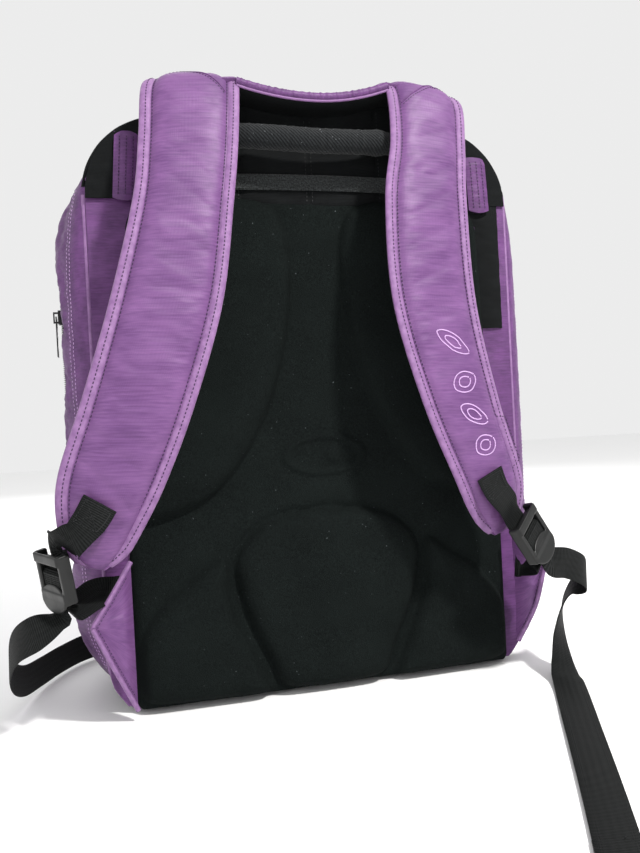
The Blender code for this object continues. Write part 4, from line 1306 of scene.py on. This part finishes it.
def on_pocket(sign, u, low, high, count=160):
    """Points up a side pocket at one place round it, with the way the cloth faces there."""
    v = np.linspace(low, high, count)
    here = side_pocket_place(sign, 120 + sign)
    line = here(np.full(count, u), v)
    ahead = here(np.full(count, u + 0.01), v) - line
    normals = unit(np.cross(np.gradient(line, axis=0), ahead))
    return line, normals * np.where(normals[:, :1] * sign > 0, 1.0, -1.0)


for side, sign in SIDES.items():
    for number, u in enumerate((0.16, 0.20, 0.84)):
        line, normals = on_pocket(sign, u, 0.05, 0.95)
        sew(f"{side}_side_pocket_seam_{number}", "lilac_piping", line, normals,
            THREAD_LILAC if u < 0.5 else THREAD_DARK, wide=0.6 * MM)

# %% [markdown]
# ## Trim round the back
# The piping follows both arches. Black corner cloth and two purple tabs lie above the margins, and a black
# strip runs down the right one. At each lower corner a folded wing of nylon holds the webbing's sewn end;
# its two free edges are piped, and a row of dark stitches keeps the piping down.

# %% Piping
PIPING_RADIUS = 2.1 * MM
for name, shape, y in (("back_piping", MAIN_ARCH, -84), ("front_piping", RACKET_ARCH, 71)):
    outline, _ = arch(shape[0] + PIPING_RADIUS, shape[1] + PIPING_RADIUS, 64 * MM, 6 * MM, 15 * MM, 200)
    route = np.stack([outline[:, 0], np.full(200, y * MM), outline[:, 1]], axis=1)
    turns = np.flatnonzero(route[:, 2] > 412 * MM) if name == "back_piping" else np.array([66, 132])
    for part, piece_route in (("left", route[:turns[0]]), ("top", route[turns[0]:turns[-1] + 1]),
                              ("right", route[turns[-1]:])):
        dark = name == "back_piping" and part == "top"
        welt = tube(f"{name}_{part}", piece_route, PIPING_RADIUS, POLYESTER if dark else BINDING, 10, steps=110)
        root_piece(welt, "black_fabric" if dark else "lilac_piping", name)

# %% Corner cloth, tabs and margin strip


def wall_edge(z):
    """Half width of the back wall at a height above its straight part."""
    half_width, top, corner = BACK_WALL
    over = np.clip(z - (top - corner), 0, corner)
    return half_width - corner + np.sqrt(np.maximum(corner ** 2 - over ** 2, 0))


def corner_place(sign):
    def place(u, v):
        z = (404 + 64.5 * v) * MM
        inner = 122 * MM
        x = inner + np.maximum(wall_edge(z) - inner, 1 * MM) * u
        return np.stack([sign * x, -89.2 * MM + 0.6 * MM * waves(x, z, 151, 30 * MM), z], axis=-1)
    return place


def tab_place(middle, low, high, lean):
    def place(u, v):
        x = (middle + (u - 0.5) * 19 + lean * (v - 0.5) * 10) * MM
        z = (low + (high - low) * v) * MM - 2.5 * MM * np.sin(math.pi * u) * (v < 0.02)
        y = (-92.5 - 2.2 * np.sin(math.pi * u) + 4 * np.clip(v - 0.86, 0, 1) / 0.14) * MM
        return np.stack([x, y + 0.15 * MM * waves(x, z, 152, 12 * MM), z], axis=-1)
    return place


for side, sign in SIDES.items():
    corner = cloth(side + "_upper_corner_cloth", 30, 40, corner_place(sign), (60 * MM, 62 * MM), POLYESTER,
                   thickness=1.2 * MM)
    root_piece(corner, "black_fabric")
for side, middle, low, high, lean in (("left", -147, 404, 457, 0.4), ("right", 152, 399, 446, -0.2)):
    place = tab_place(middle, low, high, lean)
    tab = cloth(side + "_shoulder_tab", 16, 50, place, (19 * MM, (high - low) * MM), NYLON_BODY,
                thickness=2 * MM)
    root_piece(tab, "purple_nylon")
    for number, u in enumerate((0.22, 0.5, 0.78)):
        line = place(np.full(40, u), np.linspace(0.03, 0.95, 40)) - np.array([0, 0.3 * MM, 0])
        sew(f"{side}_tab_stitches_{number}", "purple_nylon", line, TOWARDS_WEARER, THREAD_DARK,
            2.8 * MM, 2.1 * MM, 0.6 * MM)


def strip_place(u, v):
    x = (172 - (22 + 30 * np.clip((v - 0.8) / 0.1, 0, 1)) * (1 - u)) * MM
    z = (296 + 112 * v) * MM
    y = -88.6 * MM - 1.2 * MM * np.sin(math.pi * u) + 0.4 * MM * waves(x, z, 153, 26 * MM)
    return np.stack([x, y, z], axis=-1)


root_piece(cloth("right_margin_strip", 16, 60, strip_place, (23 * MM, 106 * MM), POLYESTER, thickness=1.2 * MM),
           "black_fabric")

# %% Wings that hold the lower webbing
WINGS = {"left": ((-160, 122), (-160, 9), (-190, 80)), "right": ((161, 120), (161, 24), (181, 88))}


def wing_depth(x):
    """How far forward a wing lies at a place across the bag."""
    out = np.abs(x) / MM - 160
    return -np.where(x < 0, 113.0 + 0.5 * out, 114.0 + 10 * np.tanh(out / 6)) * MM


for side, (high, low, tip) in WINGS.items():
    high, low, tip = (np.array(p, float) * MM for p in (high, low, tip))
    inward = 1.0 if side == "left" else -1.0

    def wing_place(u, v):
        sewn = low + (high - low) * v[:, None]
        spot = sewn + (tip - sewn) * (u ** 0.9)[:, None] * 0.985
        tucks = 1.1 * MM * waves(spot[:, 0], spot[:, 1], 161, 15 * MM, 6, 0.6) * np.sin(math.pi * v) * (1 - u)
        y = wing_depth(spot[:, 0]) - 2.2 * MM * np.sin(math.pi * v) * (1 - u) - tucks
        y = y + 9 * MM * np.clip((8 * MM - np.abs(spot[:, 0] - high[0])) / (8 * MM), 0, 1) ** 2
        return np.stack([spot[:, 0], y, spot[:, 1]], axis=-1)

    wing = cloth(side + "_wing_cloth", 40, 70, wing_place, (35 * MM, 90 * MM), NYLON,
                 thickness=3 * MM * (-1 if side == "left" else 1))
    root_piece(wing, "purple_nylon", side + "_wing")
    outline = np.array([[p[0], wing_depth(p[0]) - 0.8 * MM, p[1]] for p in
                        (high, high + (tip - high) * 0.5, high + (tip - high) * 0.93, tip,
                         low + (tip - low) * 0.93, low + (tip - low) * 0.5, low)])
    outline[[0, -1], 1] += 6 * MM
    root_piece(tube(side + "_wing_piping", outline, 1.9 * MM, BINDING, 10, steps=110), "lilac_piping")
    line = spread(outline, 60)[0] + np.array([inward * 3.6, -0.6, 0]) * MM
    sew(side + "_wing_stitches", "purple_nylon", line[6:-6], TOWARDS_WEARER, THREAD_DARK,
        2.9 * MM, 2.2 * MM, 0.65 * MM)

# %% [markdown]
# ## Embroidery
# The right strap carries a motif in outline stitching. It is a plain row of leaves here, and it stands for
# no maker.

# %% Outline embroidery on the right strap
strap = STRAPS["right"]
number = 0
for middle_v, long_mm, wide_mm, lean in ((0.60, 30, 13, 0.6), (0.680, 25, 15, -0.5), (0.745, 25, 15, 0.5),
                                         (0.810, 25, 15, -0.5)):
    for scale in (1.0, 0.52):
        turn = np.linspace(0, 2 * math.pi, 61)
        a = np.cos(turn) * long_mm / 2 * scale
        b = np.sin(turn) * np.abs(np.sin(turn)) ** 0.35 * wide_mm / 2 * scale
        across = (a * math.cos(lean) - b * math.sin(lean)) / 36 + 0.06
        down_way = strap.below(middle_v) + (a * math.sin(lean) + b * math.cos(lean)) * MM / strap.length
        points = strap.point(across, down_way, np.ones(61))
        sew(f"strap_embroidery_{number}", "lilac_piping", points, unit(at(strap.face, down_way)), THREAD_LILAC,
            1.25 * MM, 1.35 * MM, 1.0 * MM)
        number += 1

# %% [markdown]
# ## Zips
# Each zip has a woven tape sewn down along both edges and a nylon coil up its middle. Sliders and pulls are
# the frame's own, in enamelled zinc. A tape's place is its middle, its run, its width's way and half length.

# %% Zip tapes and coils
ZIP_PLACES = {
    "main": ((0, ZIP_MAIN_Y, 468 * MM), (1, 0, 0), (0, 1, 0), 114 * MM),
    "racket": ((0, ZIP_RACKET_Y, 440 * MM), (1, 0, 0), (0, 1, 0), 104 * MM),
    "front": ((0, FRONT_FACE, ZIP_FRONT_Z), (1, 0, 0), (0, 0, -1), 88 * MM),
    "left_side": ((-SIDE_FACE, ZIP_SIDE_Y, ZIP_SIDE_Z), (0, 0, 1), (0, 1, 0), 102 * MM),
    "right_side": ((SIDE_FACE, ZIP_SIDE_Y, ZIP_SIDE_Z), (0, 0, 1), (0, -1, 0), 102 * MM),
}
for name, (origin, run, across, half) in ZIP_PLACES.items():
    run, across = np.array(run, float), np.array(across, float)
    out = np.cross(run, across)
    t = np.linspace(-half, half, 40)[:, None]
    line = np.array(origin) + run * t
    tape, _, _ = band(name + "_zip_tape", line + out * 0.8 * MM, np.tile(across, (40, 1)), 26 * MM, 1.0 * MM,
                      TAPE, 60)
    root_piece(tape, "zip_tape", name + "_zip_track")
    sew(name + "_zip_coil", "zip_tape", line + out * 1.2 * MM, out, COIL, 1.7 * MM, 1.5 * MM, 4.8 * MM,
        tall=2.2 * MM)
    for number, offset in enumerate((-10, 10)):
        sew(f"{name}_zip_stitches_{number}", "zip_tape", line + across * offset * MM + out * 1.2 * MM, out,
            THREAD_BLACK)

# %% The frame's own hard pieces, and what is inside
for name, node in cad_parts.items():
    if node.hide_render:
        continue
    finish = ZINC if "zip" in name else POLYETHYLENE if name == "frame_sheet" else LINING
    node.data.materials.clear()
    node.data.materials.append(finish)
    print("kept from the frame:", name, finish.name)
